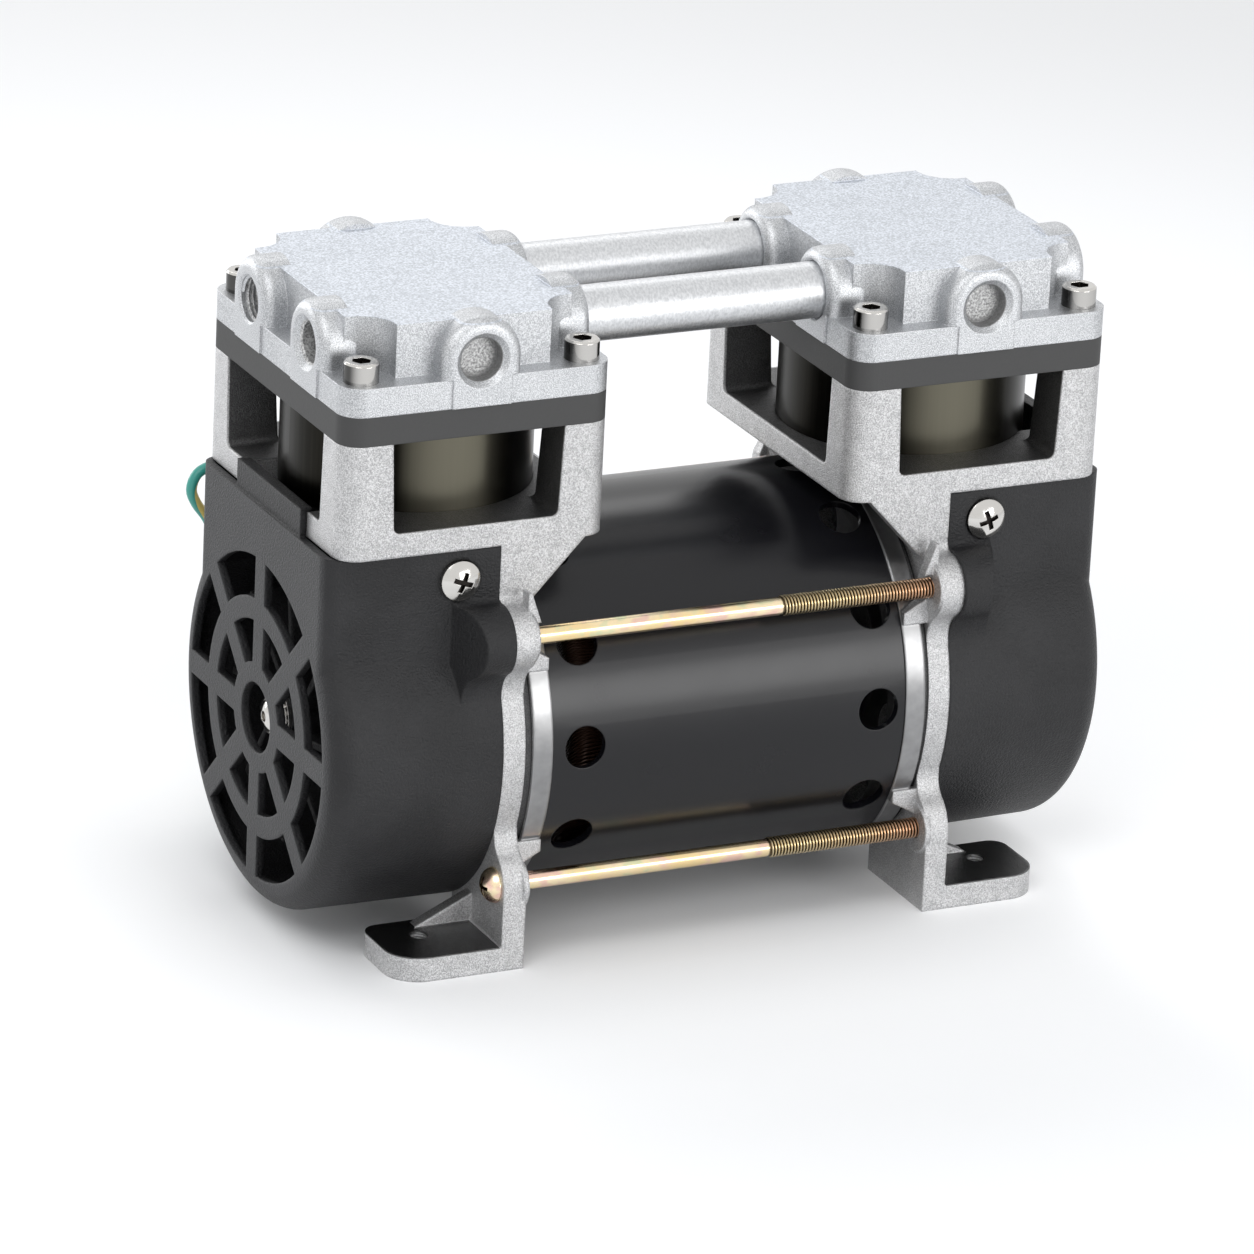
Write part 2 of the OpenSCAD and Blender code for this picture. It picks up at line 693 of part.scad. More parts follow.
module head_gaskets() {
    color([0.15, 0.15, 0.16]) for (s = [-1, 1]) on_side(s)
        translate([cylinder_x, 0, head_z - gasket_t]) linear_extrude(gasket_t) difference() {
            deck_outline(head_wall - gasket_wall + 0.05);
            for (sy = [-1, 1]) intersection() {
                deck_outline(head_wall);
                translate([-deck_l / 2, sy > 0 ? 2.5 : -2.5 - deck_w / 2])
                    square([deck_l, deck_w / 2]);
            }
        }
}

module cylinder_sleeve(s) {
    color([0.30, 0.28, 0.25]) on_side(s)
        translate([cylinder_x, 0, base_z + base_t - sleeve_seat]) difference() {
            cylinder(d = sleeve_d, h = window_h + sleeve_seat, $fn = 96);
            translate([0, 0, -eps])
                cylinder(r = bore_r, h = window_h + sleeve_seat + 2 * eps, $fn = 96);
        }
}

module cylinder_seals() {
    color([0.10, 0.10, 0.10]) for (s = [-1, 1]) on_side(s)
        translate([cylinder_x, 0, frame_top]) rotate_extrude()
            translate([bore_r + 0.75, 0]) square([sleeve_wall - 1.5, 0.95]);
}

// The clamp under each suction reed and the bent stop over each discharge reed
module reed_clamps() {
    color([0.62, 0.63, 0.64]) for (s = [-1, 1]) on_side(s)
        translate([cylinder_x, 0, 0]) difference() {
            union() {
                translate([reed_root - clamp_l, valve_y - reed_w / 2, frame_top - clamp_t])
                    cube([clamp_l, reed_w, clamp_t]);
                translate([0, reed_w / 2 - valve_y, head_z - gasket_t]) rotate([90, 0, 0])
                    linear_extrude(reed_w) reed_stop_outline();
            }
            for (sy = [-1, 1], y = [-3.5, 3.5])
                translate([reed_root - clamp_l / 2, sy * valve_y + y, frame_top - 2])
                    cylinder(r = 1.5 + 0.05, h = plate_t + 6);
        }
}

module reed_stop_outline() {
    rise = reed_l * tan(reed_angle + 1);
    polygon([[reed_root - clamp_l, 0], [reed_root - 0.2, 0], [reed_root - 0.2, 0.9],
        [reed_root + reed_l - 2, rise + 0.9], [reed_root + reed_l - 2, rise + 2.1],
        [reed_root, 2.1], [reed_root - clamp_l, 2.1]]);
}

module reed_rivets() {
    color([0.70, 0.71, 0.72]) for (s = [-1, 1]) on_side(s)
        translate([cylinder_x, 0, 0])
            for (sy = [-1, 1], y = [-3.5, 3.5])
                translate([reed_root - clamp_l / 2, sy * valve_y + y, 0]) {
                    low = frame_top - (sy > 0 ? clamp_t : 0);
                    high = head_z - gasket_t + (sy > 0 ? 0 : 2.1);
                    translate([0, 0, low]) cylinder(r = 1.5, h = high - low);
                    translate([0, 0, high]) cylinder(r = 2.4, h = 0.8);
                    if (sy > 0) translate([0, 0, low - 0.7]) cylinder(r = 2.4, h = 0.7);
                }
}

// A reed's flap: a strip with a round tip
module reed_flap(y) {
    translate([0, y, 0]) linear_extrude(reed_t) {
        translate([reed_root, -reed_w / 2 + 1]) square([reed_l - reed_w / 2, reed_w - 2]);
        translate([reed_root + reed_l - reed_w / 2, 0]) circle(reed_w / 2 - 1);
    }
}

module suction_reed(s) {
    color([0.66, 0.68, 0.72]) on_side(s) translate([cylinder_x, 0, frame_top - reed_t])
        reed_flap(valve_y);
}

module discharge_reed(s) {
    color([0.66, 0.68, 0.72]) on_side(s) translate([cylinder_x, 0, head_z - gasket_t])
        reed_flap(-valve_y);
}

module cap_screws() {
    top = head_z + flange_t;
    color([0.78, 0.77, 0.75]) for (s = [-1, 1]) on_side(s)
        for (sx = [-1, 1], sy = [-1, 1]) translate([cylinder_x + sx * cap_x, sy * cap_y, 0]) {
            difference() {
                union() {
                    translate([0, 0, top]) cylinder(r = cap_d / 1.2, h = cap_d - 0.6);
                    translate([0, 0, top + cap_d - 0.6])
                        cylinder(r1 = cap_d / 1.2, r2 = cap_d / 1.2 - 0.6, h = 0.6);
                }
                translate([0, 0, top + cap_d / 2])
                    cylinder(d = cap_d / 1.2 / cos(30), h = cap_d, $fn = 6);
            }
            translate([0, 0, top - cap_l]) cylinder(d = cap_d, h = cap_l);
        }
}

module transfer_tube(sy) {
    end = cylinder_x - frame_l / 2 - boss_proud + socket_l;
    color([0.82, 0.83, 0.84]) difference() {
        bar_x(-end, 2 * end, tube_d / 2, sy * tube_y, boss_z);
        bar_x(-end - eps, 2 * end + 2 * eps, tube_d / 2 - tube_wall, sy * tube_y, boss_z);
    }
}

module tube_seals() {
    mid = cylinder_x - frame_l / 2 - boss_proud + socket_l / 2;
    color([0.10, 0.10, 0.10]) for (s = [-1, 1], sy = [-1, 1])
        turned_x(s * mid, sy * tube_y, boss_z)
            translate([tube_d / 2 + fit / 2 + seal_t / 2, 0]) circle(d = seal_t);
}

module motor_shell() {
    color([0.06, 0.06, 0.07]) difference() {
        bar_x(-shell_l / 2, shell_l, shell_r, $fn = 128);
        bar_x(-shell_l / 2 - eps, shell_l + 2 * eps, shell_r - shell_wall, $fn = 128);
        for (sx = [-1, 1], i = [0 : vent_count - 1])
            rotate_about_shaft(i * 360 / vent_count - vent_turn)
                bar_y(sx * vent_x + vent_off, -shell_r - eps, shaft_z, shell_wall + 2 * eps, vent_d / 2);
    }
}

module slot_outline(inset) {
    for (i = [0 : slot_count - 1]) rotate(i * 360 / slot_count)
        translate([rotor_r + air_gap + 3 + inset, -2 + inset])
            square([stator_r - rotor_r - 16 - 2 * inset, 4 - 2 * inset]);
}

module stator_core() {
    color([0.35, 0.35, 0.37]) translate([0, 0, shaft_z]) rotate([90, 0, 90])
        translate([0, 0, -stator_l / 2]) linear_extrude(stator_l) difference() {
            circle(stator_r);
            circle(rotor_r + air_gap);
            slot_outline(0);
        }
}

module stator_windings() {
    inner = rotor_r + air_gap + 3.2;
    outer = stator_r - 6;
    color([0.62, 0.30, 0.14]) {
        translate([0, 0, shaft_z]) rotate([90, 0, 90])
            translate([0, 0, -stator_l / 2 - eps]) linear_extrude(stator_l + 2 * eps)
                slot_outline(0.2);
        for (s = [-1, 1]) on_side(s) turned_x(stator_l / 2 + 0.5)
            translate([(inner + outer) / 2, end_turn_l / 2]) winding_section(outer - inner);
    }
}

module winding_section(w) {
    r = 4;
    square([w, end_turn_l - 2 * r], center = true);
    square([w - 2 * r, end_turn_l], center = true);
    for (sx = [-1, 1], sy = [-1, 1])
        translate([sx * (w / 2 - r), sy * (end_turn_l / 2 - r)]) circle(r);
}

module through_bolts() {
    color([0.80, 0.66, 0.36]) for (sy = [-1, 1], sz = [-1, 1])
        translate([0, sy * bolt_y, sz * bolt_dz]) {
            bar_x(-web_out, web_out + bolt_thread_x, bolt_shank_d / 2);
            bar_x(bolt_thread_x, web_out - bolt_end - bolt_thread_x, bolt_d / 2);
            turned_x(-web_out - bolt_head_h) difference() {
                intersection() {
                    square([bolt_head_d / 2, bolt_head_h]);
                    translate([0, bolt_head_h * 1.6]) circle(bolt_head_h * 1.6);
                }
                square([1.2, 1.4]);
            }
        }
}

// A bearing ring with a ball groove: inner when the groove faces out
module bearing_ring(x, w, r0, r1, groove_r, ball_r, z = shaft_z) {
    turned_x(x, 0, z) difference() {
        translate([r0, 0]) square([r1 - r0, w]);
        translate([groove_r, w / 2]) circle(ball_r + gap);
    }
}

module bearing_balls(x, w, pitch_r, ball_r, z = shaft_z) {
    for (i = [0 : ball_count - 1]) translate([x + w / 2, 0, z])
        rotate([i * 360 / ball_count, 0, 0]) translate([0, 0, pitch_r]) sphere(ball_r);
}

main_pitch_r = (main_bearing_id + main_bearing_od) / 4;
rod_pitch_r = (rod_bearing_id + rod_bearing_od) / 4;
ring_share = 0.3;
main_land = ring_share * (main_bearing_od - main_bearing_id) / 2;
rod_land = ring_share * (rod_bearing_od - rod_bearing_id) / 2;

module main_bearing_outer_rings() {
    color([0.72, 0.73, 0.75]) for (s = [-1, 1]) on_side(s)
        bearing_ring(main_bearing_x, main_bearing_w, main_bearing_od / 2 - main_land,
            main_bearing_od / 2, main_pitch_r, main_ball_d / 2);
}

module main_bearing_inner_rings() {
    color([0.72, 0.73, 0.75]) for (s = [-1, 1]) on_side(s)
        bearing_ring(main_bearing_x, main_bearing_w, main_bearing_id / 2,
            main_bearing_id / 2 + main_land, main_pitch_r, main_ball_d / 2);
}

module main_bearing_balls() {
    color([0.80, 0.81, 0.83]) for (s = [-1, 1]) on_side(s)
        bearing_balls(main_bearing_x, main_bearing_w, main_pitch_r, main_ball_d / 2);
}

module rod_bearing_inner_rings() {
    color([0.72, 0.73, 0.75]) for (s = [-1, 1]) on_side(s)
        bearing_ring(rod_x, rod_bearing_w, rod_bearing_id / 2,
            rod_bearing_id / 2 + rod_land, rod_pitch_r, rod_ball_d / 2, crank_z(s));
}

module rod_bearing_balls() {
    color([0.80, 0.81, 0.83]) for (s = [-1, 1]) on_side(s)
        bearing_balls(rod_x, rod_bearing_w, rod_pitch_r, rod_ball_d / 2, crank_z(s));
}

module rod_bearing_ring(s) {
    color([0.72, 0.73, 0.75]) on_side(s)
        bearing_ring(rod_x, rod_bearing_w, rod_bearing_od / 2 - rod_land,
            rod_bearing_od / 2, rod_pitch_r, rod_ball_d / 2, crank_z(s));
}

module motor_shaft() {
    color([0.70, 0.71, 0.73]) difference() {
        union() {
            bar_x(-main_bearing_x, 2 * main_bearing_x, shaft_d / 2 - press);
            bar_x(-web_out, 2 * web_out, main_bearing_id / 2 - press);
            bar_x(-shaft_end_x, 2 * shaft_end_x, shaft_end_d / 2 - press);
        }
        for (s = [-1, 1]) on_side(s) bar_x(shaft_end_x - 14, 14 + eps, 2.55);
    }
}

module rotor_core() {
    color([0.38, 0.38, 0.40]) difference() {
        bar_x(-stator_l / 2, stator_l, rotor_r);
        bar_x(-stator_l / 2 - eps, stator_l + 2 * eps, shaft_d / 2);
    }
}

module rotor_end_rings() {
    color([0.76, 0.77, 0.78]) for (s = [-1, 1]) on_side(s) {
        difference() {
            bar_x(stator_l / 2, 6, rotor_r - 0.6);
            bar_x(stator_l / 2 - eps, 6 + 2 * eps, rotor_r - 11);
        }
        for (i = [0 : 7]) rotate_about_shaft(i * 45)
            translate([stator_l / 2 + 5.5, -1, shaft_z + rotor_r - 10]) cube([7, 2, 8]);
    }
}

// Journal, collar, flange and balance weight in one turning
module eccentric(s) {
    hole_r = shaft_end_d / 2;
    color([0.55, 0.56, 0.58]) on_side(s) difference() {
        union() {
            bar_x(web_out + 0.5, rod_x - web_out - 0.5 + 0.1, shaft_end_d / 2 + 3.5);
            bar_x(rod_x, rod_out + gap - rod_x, rod_bearing_id / 2 - press, 0, crank_z(s));
            bar_x(rod_out + gap, crank_flange_t, rod_bearing_id / 2 + 2, 0, crank_z(s));
            along_x(rod_out + gap + crank_flange_t, weight_t) translate([0, shaft_z])
                difference() {
                    circle(27);
                    rotate(s < 0 ? 0 : 180) translate([-30, -8]) square([60, 40]);
                }
            bar_x(rod_out + gap + crank_flange_t, weight_t, shaft_end_d / 2 + 4.5);
        }
        bar_x(web_out, crank_end - web_out + eps, hole_r);
        translate([crank_end - weight_t / 2, 0, shaft_z]) rotate([s < 0 ? 180 : 0, 0, 0])
            cylinder(r = 2.05, h = 30);
    }
}

module clamp_screws() {
    color([0.25, 0.25, 0.27]) for (s = [-1, 1]) on_side(s)
        translate([crank_end - weight_t / 2, 0, shaft_z]) rotate([s < 0 ? 180 : 0, 0, 0])
            translate([0, 0, shaft_end_d / 2 + 0.1]) difference() {
                cylinder(r = 2, h = 8);
                translate([0, 0, 6]) cylinder(r = 1.15, h = 3, $fn = 6);
            }
}

// Rod: big end, waisted I-section shank and piston disc in one casting
module connecting_rod(s) {
    disc_t = 5;
    top = crown_z - 4.2;
    half = rod_bearing_w / 2;
    color([0.66, 0.67, 0.68]) on_side(s) translate([cylinder_x, 0, crank_z(s)])
        difference() {
            union() {
                bar_x(-half, 2 * half, rod_end_r, 0, 0);
                translate([0, 0, top - disc_t]) cylinder(r = piston_r - 0.8, h = disc_t);
                along_x(-half + 1, 2 * half - 2) rod_shank_outline(0, top - disc_t / 2);
                translate([0, 0, top - disc_t - 4])
                    cylinder(r1 = 9, r2 = 16, h = 4.5);
            }
            bar_x(-half - eps, 2 * half + 2 * eps, rod_bearing_od / 2 + press, 0, 0);
            for (x = [-half, half - 3])
                along_x(x, 3) rod_shank_outline(3, top - disc_t - 8);
            translate([0, 0, top - 14]) cylinder(r = 2.05, h = 14 + eps);
        }
}

module rod_shank_outline(inset, top) {
    low = sqrt(pow(rod_end_r, 2) - 144);
    if (inset == 0) polygon([[-14, low], [14, low], [9, top], [-9, top]]);
    else polygon([[-8, rod_end_r + 3], [8, rod_end_r + 3], [6, top], [-6, top]]);
}

module piston_cup(s) {
    color([0.16, 0.14, 0.12]) on_side(s) translate([cylinder_x, 0, crank_z(s) + crown_z])
        rotate_extrude() {
            translate([2.4, -4.2]) square([piston_r - 2.4, 1.2]);
            translate([piston_r - 1.1, -4.2]) square([1.1, 3.9]);
        }
}

module cup_retainer(s) {
    color([0.72, 0.73, 0.74]) on_side(s) translate([cylinder_x, 0, crank_z(s) + crown_z])
        difference() {
            translate([0, 0, -3]) cylinder(r = piston_r - 1.4, h = 3);
            translate([0, 0, -3 - eps]) cylinder(r = 2.2, h = 3 + 2 * eps);
            translate([0, 0, -2.4]) cylinder(r1 = 2.2, r2 = 4.7, h = 2.5);
        }
}

module cup_screw(s) {
    color([0.70, 0.70, 0.72]) on_side(s) translate([cylinder_x, 0, crank_z(s) + crown_z])
        difference() {
            union() {
                translate([0, 0, -14]) cylinder(r = 2, h = 12);
                translate([0, 0, -2.2]) cylinder(r1 = 2, r2 = 4.2, h = 2.2);
            }
            for (a = [0, 90]) rotate(a) translate([-2, -0.4, -1.2]) cube([4, 0.8, 2]);
        }
}

// Hub, back plate and blades
module fan(s) {
    color([0.05, 0.05, 0.05]) on_side(s) difference() {
        union() {
            bar_x(fan_x, fan_l, 11);
            bar_x(fan_x, 1.8, fan_r);
            along_x(fan_x, fan_l) translate([0, shaft_z]) for (i = [0 : blade_count - 1])
                rotate(i * 360 / blade_count) fan_blade();
        }
        bar_x(fan_x - eps, fan_l + 2 * eps, shaft_end_d / 2);
    }
}

// One blade: a flat strip, set back from the radius
module fan_blade() {
    translate([8, 3]) rotate(-9) square([fan_r - 12, blade_t]);
}

module fan_screws() {
    color([0.80, 0.81, 0.82]) for (s = [-1, 1]) on_side(s) {
        bar_x(shaft_end_x - 12, 12, 2.5);
        turned_x(shaft_end_x) difference() {
            union() {
                square([7, 1]);
                square([5, 4.6]);
                intersection() {
                    square([5, 6]);
                    translate([0, -2]) circle(8);
                }
            }
            translate([0, 3.6]) square([1.6, 3]);
        }
    }
}

// The cover's solid form, made smaller on every side by inset
module cover_form(inset) {
    r0 = cover_r - inset;
    r1 = r0 - 0.6;
    x1 = cover_x - inset;
    f = cover_fillet - inset;
    c = max(cover_corner_r - inset, 0.6);
    x0 = web_out - (inset > 0 ? eps : 0);
    w0 = cover_side(x0) - inset;
    w1 = cover_side(x1 - c) - inset;
    turned_x() {
        polygon([[0, x0], [r0, x0], [r1, x1 - f], [r1 - f, x1 - f], [r1 - f, x1], [0, x1]]);
        translate([r1 - f, x1 - f]) circle(f);
    }
    translate([0, 0, shaft_z])
        linear_extrude(base_z - gap - shaft_z + (inset > 0 ? eps : 0)) {
            polygon([[x0, -w0], [x1 - c, -w1], [x1 - c, c - w1], [x1, c - w1],
                [x1, w1 - c], [x1 - c, w1 - c], [x1 - c, w1], [x0, w0]]);
            for (s = [-1, 1]) translate([x1 - c, s * (w1 - c)]) circle(c);
        }
    for (s = [0, 1]) mirror([0, s, 0]) intersection() {
        along_x(x0, bulge_l + 2 * bulge_ramp) bulge_outline(inset);
        translate([0, 0, shaft_z - web_r]) linear_extrude(2 * web_r) bulge_plan(x0, inset);
    }
}

// A bulge seen from above: its end slants from the outer side back to the wall
module bulge_plan(x0, inset) {
    outer = lug_y + bulge_r;
    wall = frame_w / 2;
    reach = web_out + bulge_l - inset * 1.2;
    inner_share = (outer - wall / 2) / (outer - wall);
    polygon([[x0, wall / 2], [reach + bulge_ramp * inner_share, wall / 2], [reach, outer],
        [reach, outer + eps], [x0, outer + eps]]);
}

// The bulge that clears a bolt head, blended into the side above and below
module bulge_outline(inset) {
    c = [lug_y, shaft_z + bolt_dz - 0.5];
    r = bulge_r - inset;
    translate(c) circle(r);
    wall_blend(frame_w / 2 - inset - 1, c, r, lug_blend_r * 0.6, 1);
    blend([0, shaft_z], cover_r - inset - 0.4, c, r, lug_blend_r * 2, -1);
}

// Slots in two rows between the spokes, and the hub hole
module grille_outline() {
    difference() {
        circle(grille_r);
        circle(grille_mid_r);
        spokes();
    }
    difference() {
        circle(grille_mid_r - grille_ring_w);
        circle(hub_hole_r + hub_ring_w);
        spokes();
    }
    circle(hub_hole_r);
}

module spokes() {
    for (i = [0 : spoke_count - 1]) rotate(i * 360 / spoke_count)
        translate([0, -spoke_w / 2]) square([grille_r + eps, spoke_w]);
}

module fan_cover(s) {
    tongue_x = cylinder_x + frame_l / 2 + gap;
    color([0.05, 0.05, 0.055]) on_side(s) difference() {
        union() {
            difference() {
                cover_form(0);
                cover_form(cover_wall);
            }
            translate([tongue_x, -tongue_w / 2 - tongue_off, base_z - 5])
                cube([cover_x - tongue_back - tongue_x, tongue_w, tongue_h + 5]);
            translate([tongue_x - 2, gap - notch_w / 2 - tongue_off, base_z - 5])
                cube([2 + eps, notch_w - 2 * gap, tongue_h + 5]);
        }
        along_x(cover_x - cover_wall - eps, cover_wall + 2 * eps)
            translate([0, shaft_z]) grille_outline();
        for (sy = [-1, 1]) translate([web_out + cover_screw_x, 0, cover_screw_z])
            rotate([-90 * sy, 0, 0]) {
                translate([0, 0, frame_w / 2 - 8])
                    cylinder(r = cover_screw_d / 2 + screw_gap, h = 10);
                translate([0, 0, cover_seat]) cylinder(r = cover_screw_head_d / 2 + 0.3, h = 4);
            }
        if (s < 0) bar_y(grommet_at[0], cover_side(grommet_at[0]) - cover_wall - 2,
            grommet_at[1], 8, lead_d / 2 + 1.6);
    }
}

// Where the cover screws' heads seat, measured from the middle
cover_seat = frame_w / 2 - 1.4;

module cover_screws() {
    color([0.82, 0.82, 0.80]) for (s = [-1, 1]) on_side(s) for (sy = [-1, 1])
        translate([web_out + cover_screw_x, 0, cover_screw_z]) rotate([-90 * sy, 0, 0]) {
            translate([0, 0, frame_w / 2 - 12])
                cylinder(d = cover_screw_d, h = cover_seat + 12 - frame_w / 2);
            translate([0, 0, cover_seat]) difference() {
                rotate_extrude() intersection() {
                    square([cover_screw_head_d / 2, 4]);
                    translate([0, -5.4]) circle(9.2);
                }
                for (a = [20, 110]) rotate(a) translate([-3, -0.7, 2.2])
                    cube([6, 1.4, 4]);
            }
        }
}

// A grommet with a groove for the cover's wall, and a nose that the lead leaves by
module lead_grommet() {
    y = cover_side(grommet_at[0]);
    r = lead_d / 2;
    color([0.08, 0.08, 0.08]) translate([-grommet_at[0], y, grommet_at[1]])
        rotate([-90, 0, 0]) rotate_extrude() difference() {
            union() {
                translate([r, -cover_wall - 1.8]) square([3.2, 1.1]);
                translate([r, -cover_wall - 1.2]) square([1.4, cover_wall + 2.8]);
                translate([r, 0.5]) square([3.2, 1.2]);
                translate([r, 1]) square([1.2, lead_points[0][1] - y - 1]);
            }
        }
}

// A smooth curve through four neighbouring points
function curve_point(p0, p1, p2, p3, t) =
    0.5 * (2 * p1 + (p2 - p0) * t + (2 * p0 - 5 * p1 + 4 * p2 - p3) * t * t
        + (3 * p1 - p0 - 3 * p2 + p3) * t * t * t);

function curve(p, steps) = let (n = len(p)) [
    for (i = [0 : n - 2]) for (j = [0 : steps - 1])
        curve_point(p[max(i - 1, 0)], p[i], p[i + 1], p[min(i + 2, n - 1)], j / steps),
    p[n - 1]];

function unit(v) = v / norm(v);

// A plain tube along a path, as one closed solid
module swept_tube(path, r, sides) {
    n = len(path);
    rings = [for (i = [0 : n - 1])
        let (t = unit(path[min(i + 1, n - 1)] - path[max(i - 1, 0)]),
            a = unit(cross(t, abs(t[2]) > 0.9 ? [1, 0, 0] : [0, 0, 1])),
            b = cross(a, t))
        for (k = [0 : sides - 1])
            path[i] + r * (cos(k * 360 / sides) * a + sin(k * 360 / sides) * b)];
    faces = concat(
        [[for (k = [0 : sides - 1]) k]],
        [for (i = [0 : n - 2]) for (k = [0 : sides - 1])
            [i * sides + k, (i + 1) * sides + k,
                (i + 1) * sides + (k + 1) % sides, i * sides + (k + 1) % sides]],
        [[for (k = [sides - 1 : -1 : 0]) (n - 1) * sides + k]]);
    polyhedron(rings, faces);
}

module earth_lead() {
    color([0.20, 0.55, 0.30]) swept_tube(curve(lead_points, 2), lead_d / 2, 8);
}

module earth_lead_coil() {
    floor_z = lead_points[len(lead_points) - 1][2];
    color([0.20, 0.55, 0.30]) translate([coil_centre[0], coil_centre[1], floor_z])
        rotate_extrude() {
            translate([coil_r - lead_d / 2, 0]) square([lead_d, lead_d]);
            for (z = [0, lead_d]) translate([coil_r, z]) circle(lead_d / 2);
        }
}

module earth_lead_tail() {
    color([0.20, 0.55, 0.30]) swept_tube(curve(tail_points, 2), lead_d / 2, 8);
}

// A crimped ring terminal lying on the floor
module earth_terminal() {
    end = tail_points[len(tail_points) - 1];
    before = tail_points[len(tail_points) - 2];
    a = atan2(end[1] - before[1], end[0] - before[0]);
    color([0.78, 0.76, 0.70]) translate([end[0], end[1], 0]) rotate(a) {
        translate([0, 0, end[2]]) rotate([0, 90, 0]) cylinder(d = lead_d, h = 7);
        difference() {
            union() {
                translate([11.5, 0, 0]) cylinder(r = 4, h = 0.8);
                translate([5, -1.6, 0]) cube([5, 3.2, 0.8]);
            }
            translate([11.5, 0, -eps]) cylinder(r = 2.15, h = 0.8 + 2 * eps);
        }
    }
}

motor_shell();
stator_core();
stator_windings();
end_casting(-1);  // left_end_casting
end_casting(1);  // right_end_casting
through_bolts();
main_bearing_outer_rings();
fan_cover(-1);  // left_fan_cover
fan_cover(1);  // right_fan_cover
cover_screws();
cylinder_sleeve(-1);  // left_cylinder_sleeve
cylinder_sleeve(1);  // right_cylinder_sleeve
cylinder_seals();
valve_plate(-1);  // left_valve_plate
valve_plate(1);  // right_valve_plate
head_gaskets();
reed_clamps();
reed_rivets();
cylinder_head(-1);  // left_cylinder_head
cylinder_head(1);  // right_cylinder_head
cap_screws();
transfer_tube(-1);  // front_transfer_tube
transfer_tube(1);  // rear_transfer_tube
tube_seals();
motor_shaft();
rotor_core();
rotor_end_rings();
main_bearing_inner_rings();
main_bearing_balls();
eccentric(-1);  // left_eccentric
eccentric(1);  // right_eccentric
clamp_screws();
rod_bearing_inner_rings();
rod_bearing_balls();
fan(-1);  // left_fan
fan(1);  // right_fan
fan_screws();
connecting_rod(-1);  // left_connecting_rod
connecting_rod(1);  // right_connecting_rod
rod_bearing_ring(-1);  // left_rod_bearing_ring
rod_bearing_ring(1);  // right_rod_bearing_ring
piston_cup(-1);  // left_piston_cup
piston_cup(1);  // right_piston_cup
cup_retainer(-1);  // left_cup_retainer
cup_retainer(1);  // right_cup_retainer
cup_screw(-1);  // left_cup_screw
cup_screw(1);  // right_cup_screw
suction_reed(-1);  // left_suction_reed
discharge_reed(-1);  // left_discharge_reed
suction_reed(1);  // right_suction_reed
discharge_reed(1);  // right_discharge_reed
lead_grommet();
earth_lead();
earth_lead_coil();
earth_lead_tail();
earth_terminal();
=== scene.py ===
# %% [markdown]
# # A small twin-cylinder vacuum pump, dressed for the camera
# The solid parts come ready-made from the CAD model. This script gives every part its
# finish, models the few things that the CAD leaves plain (screw threads, the recesses of
# the tie bolts and the earth lead), and lights the pump on a pale studio floor.
# Lengths are in metres: X runs along the motor shaft, the front faces -Y and Z is up.

# %% Load the CAD parts
import bpy, json, math
from mathutils import Matrix, Vector


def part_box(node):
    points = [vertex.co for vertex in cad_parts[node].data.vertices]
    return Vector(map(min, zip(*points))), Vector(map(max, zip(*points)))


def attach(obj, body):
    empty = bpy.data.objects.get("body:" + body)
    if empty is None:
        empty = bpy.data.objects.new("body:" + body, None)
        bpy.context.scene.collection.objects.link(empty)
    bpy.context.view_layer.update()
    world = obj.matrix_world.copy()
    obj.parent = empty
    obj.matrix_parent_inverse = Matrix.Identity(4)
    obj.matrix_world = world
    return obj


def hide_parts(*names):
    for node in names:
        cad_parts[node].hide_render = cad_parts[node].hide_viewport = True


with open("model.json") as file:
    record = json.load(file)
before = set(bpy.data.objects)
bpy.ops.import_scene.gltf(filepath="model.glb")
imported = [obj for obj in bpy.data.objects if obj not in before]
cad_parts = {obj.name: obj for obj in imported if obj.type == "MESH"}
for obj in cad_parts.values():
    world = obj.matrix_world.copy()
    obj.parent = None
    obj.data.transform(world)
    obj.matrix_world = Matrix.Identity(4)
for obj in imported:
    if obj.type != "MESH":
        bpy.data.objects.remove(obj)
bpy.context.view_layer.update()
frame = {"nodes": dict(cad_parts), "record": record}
nodes = frame["nodes"]

# %% [markdown]
# ## Places on the pump
# Threads, and the borders between a cast and a machined surface, have to fall exactly on
# features of the solid parts. Those features come in mirrored pairs and fours, so one
# number for each is enough: how far it lies from the middle of the pump, or above the
# floor. Only the bolts are counted from the shaft, and the cap screws from the axis of
# their cylinder. The ends of the tie bolts are measured on the CAD part itself.

# %% Name the places
MM = 0.001
shaft_z = 61 * MM
cylinder_x = 78.5 * MM
deck_z = 190 * MM
head_hole_y, head_hole_z = 20 * MM, 179.3 * MM
foot_hole_x, foot_hole_y = 88.9 * MM, 44.45 * MM
bolt_y, bolt_dz = 54 * MM, 37 * MM
bolt_start, bolt_end = (corner.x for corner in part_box("through_bolts"))
bolt_thread_x = 15 * MM
cap_screw_dx, cap_screw_y = 33.45 * MM, 41.75 * MM
cover_screw_x, cover_screw_z = 82.5 * MM, 115 * MM
print("tie bolts from", round(bolt_start, 4), "to", round(bolt_end, 4))

# %% [markdown]
# ## The camera
# It stands to the left of the front and a little above, a long way off with a long lens,
# which keeps the verticals almost parallel. The numbers were solved from edges of known
# position, so they are not round. The three axes of the camera are built first, then
# turned by the small roll.

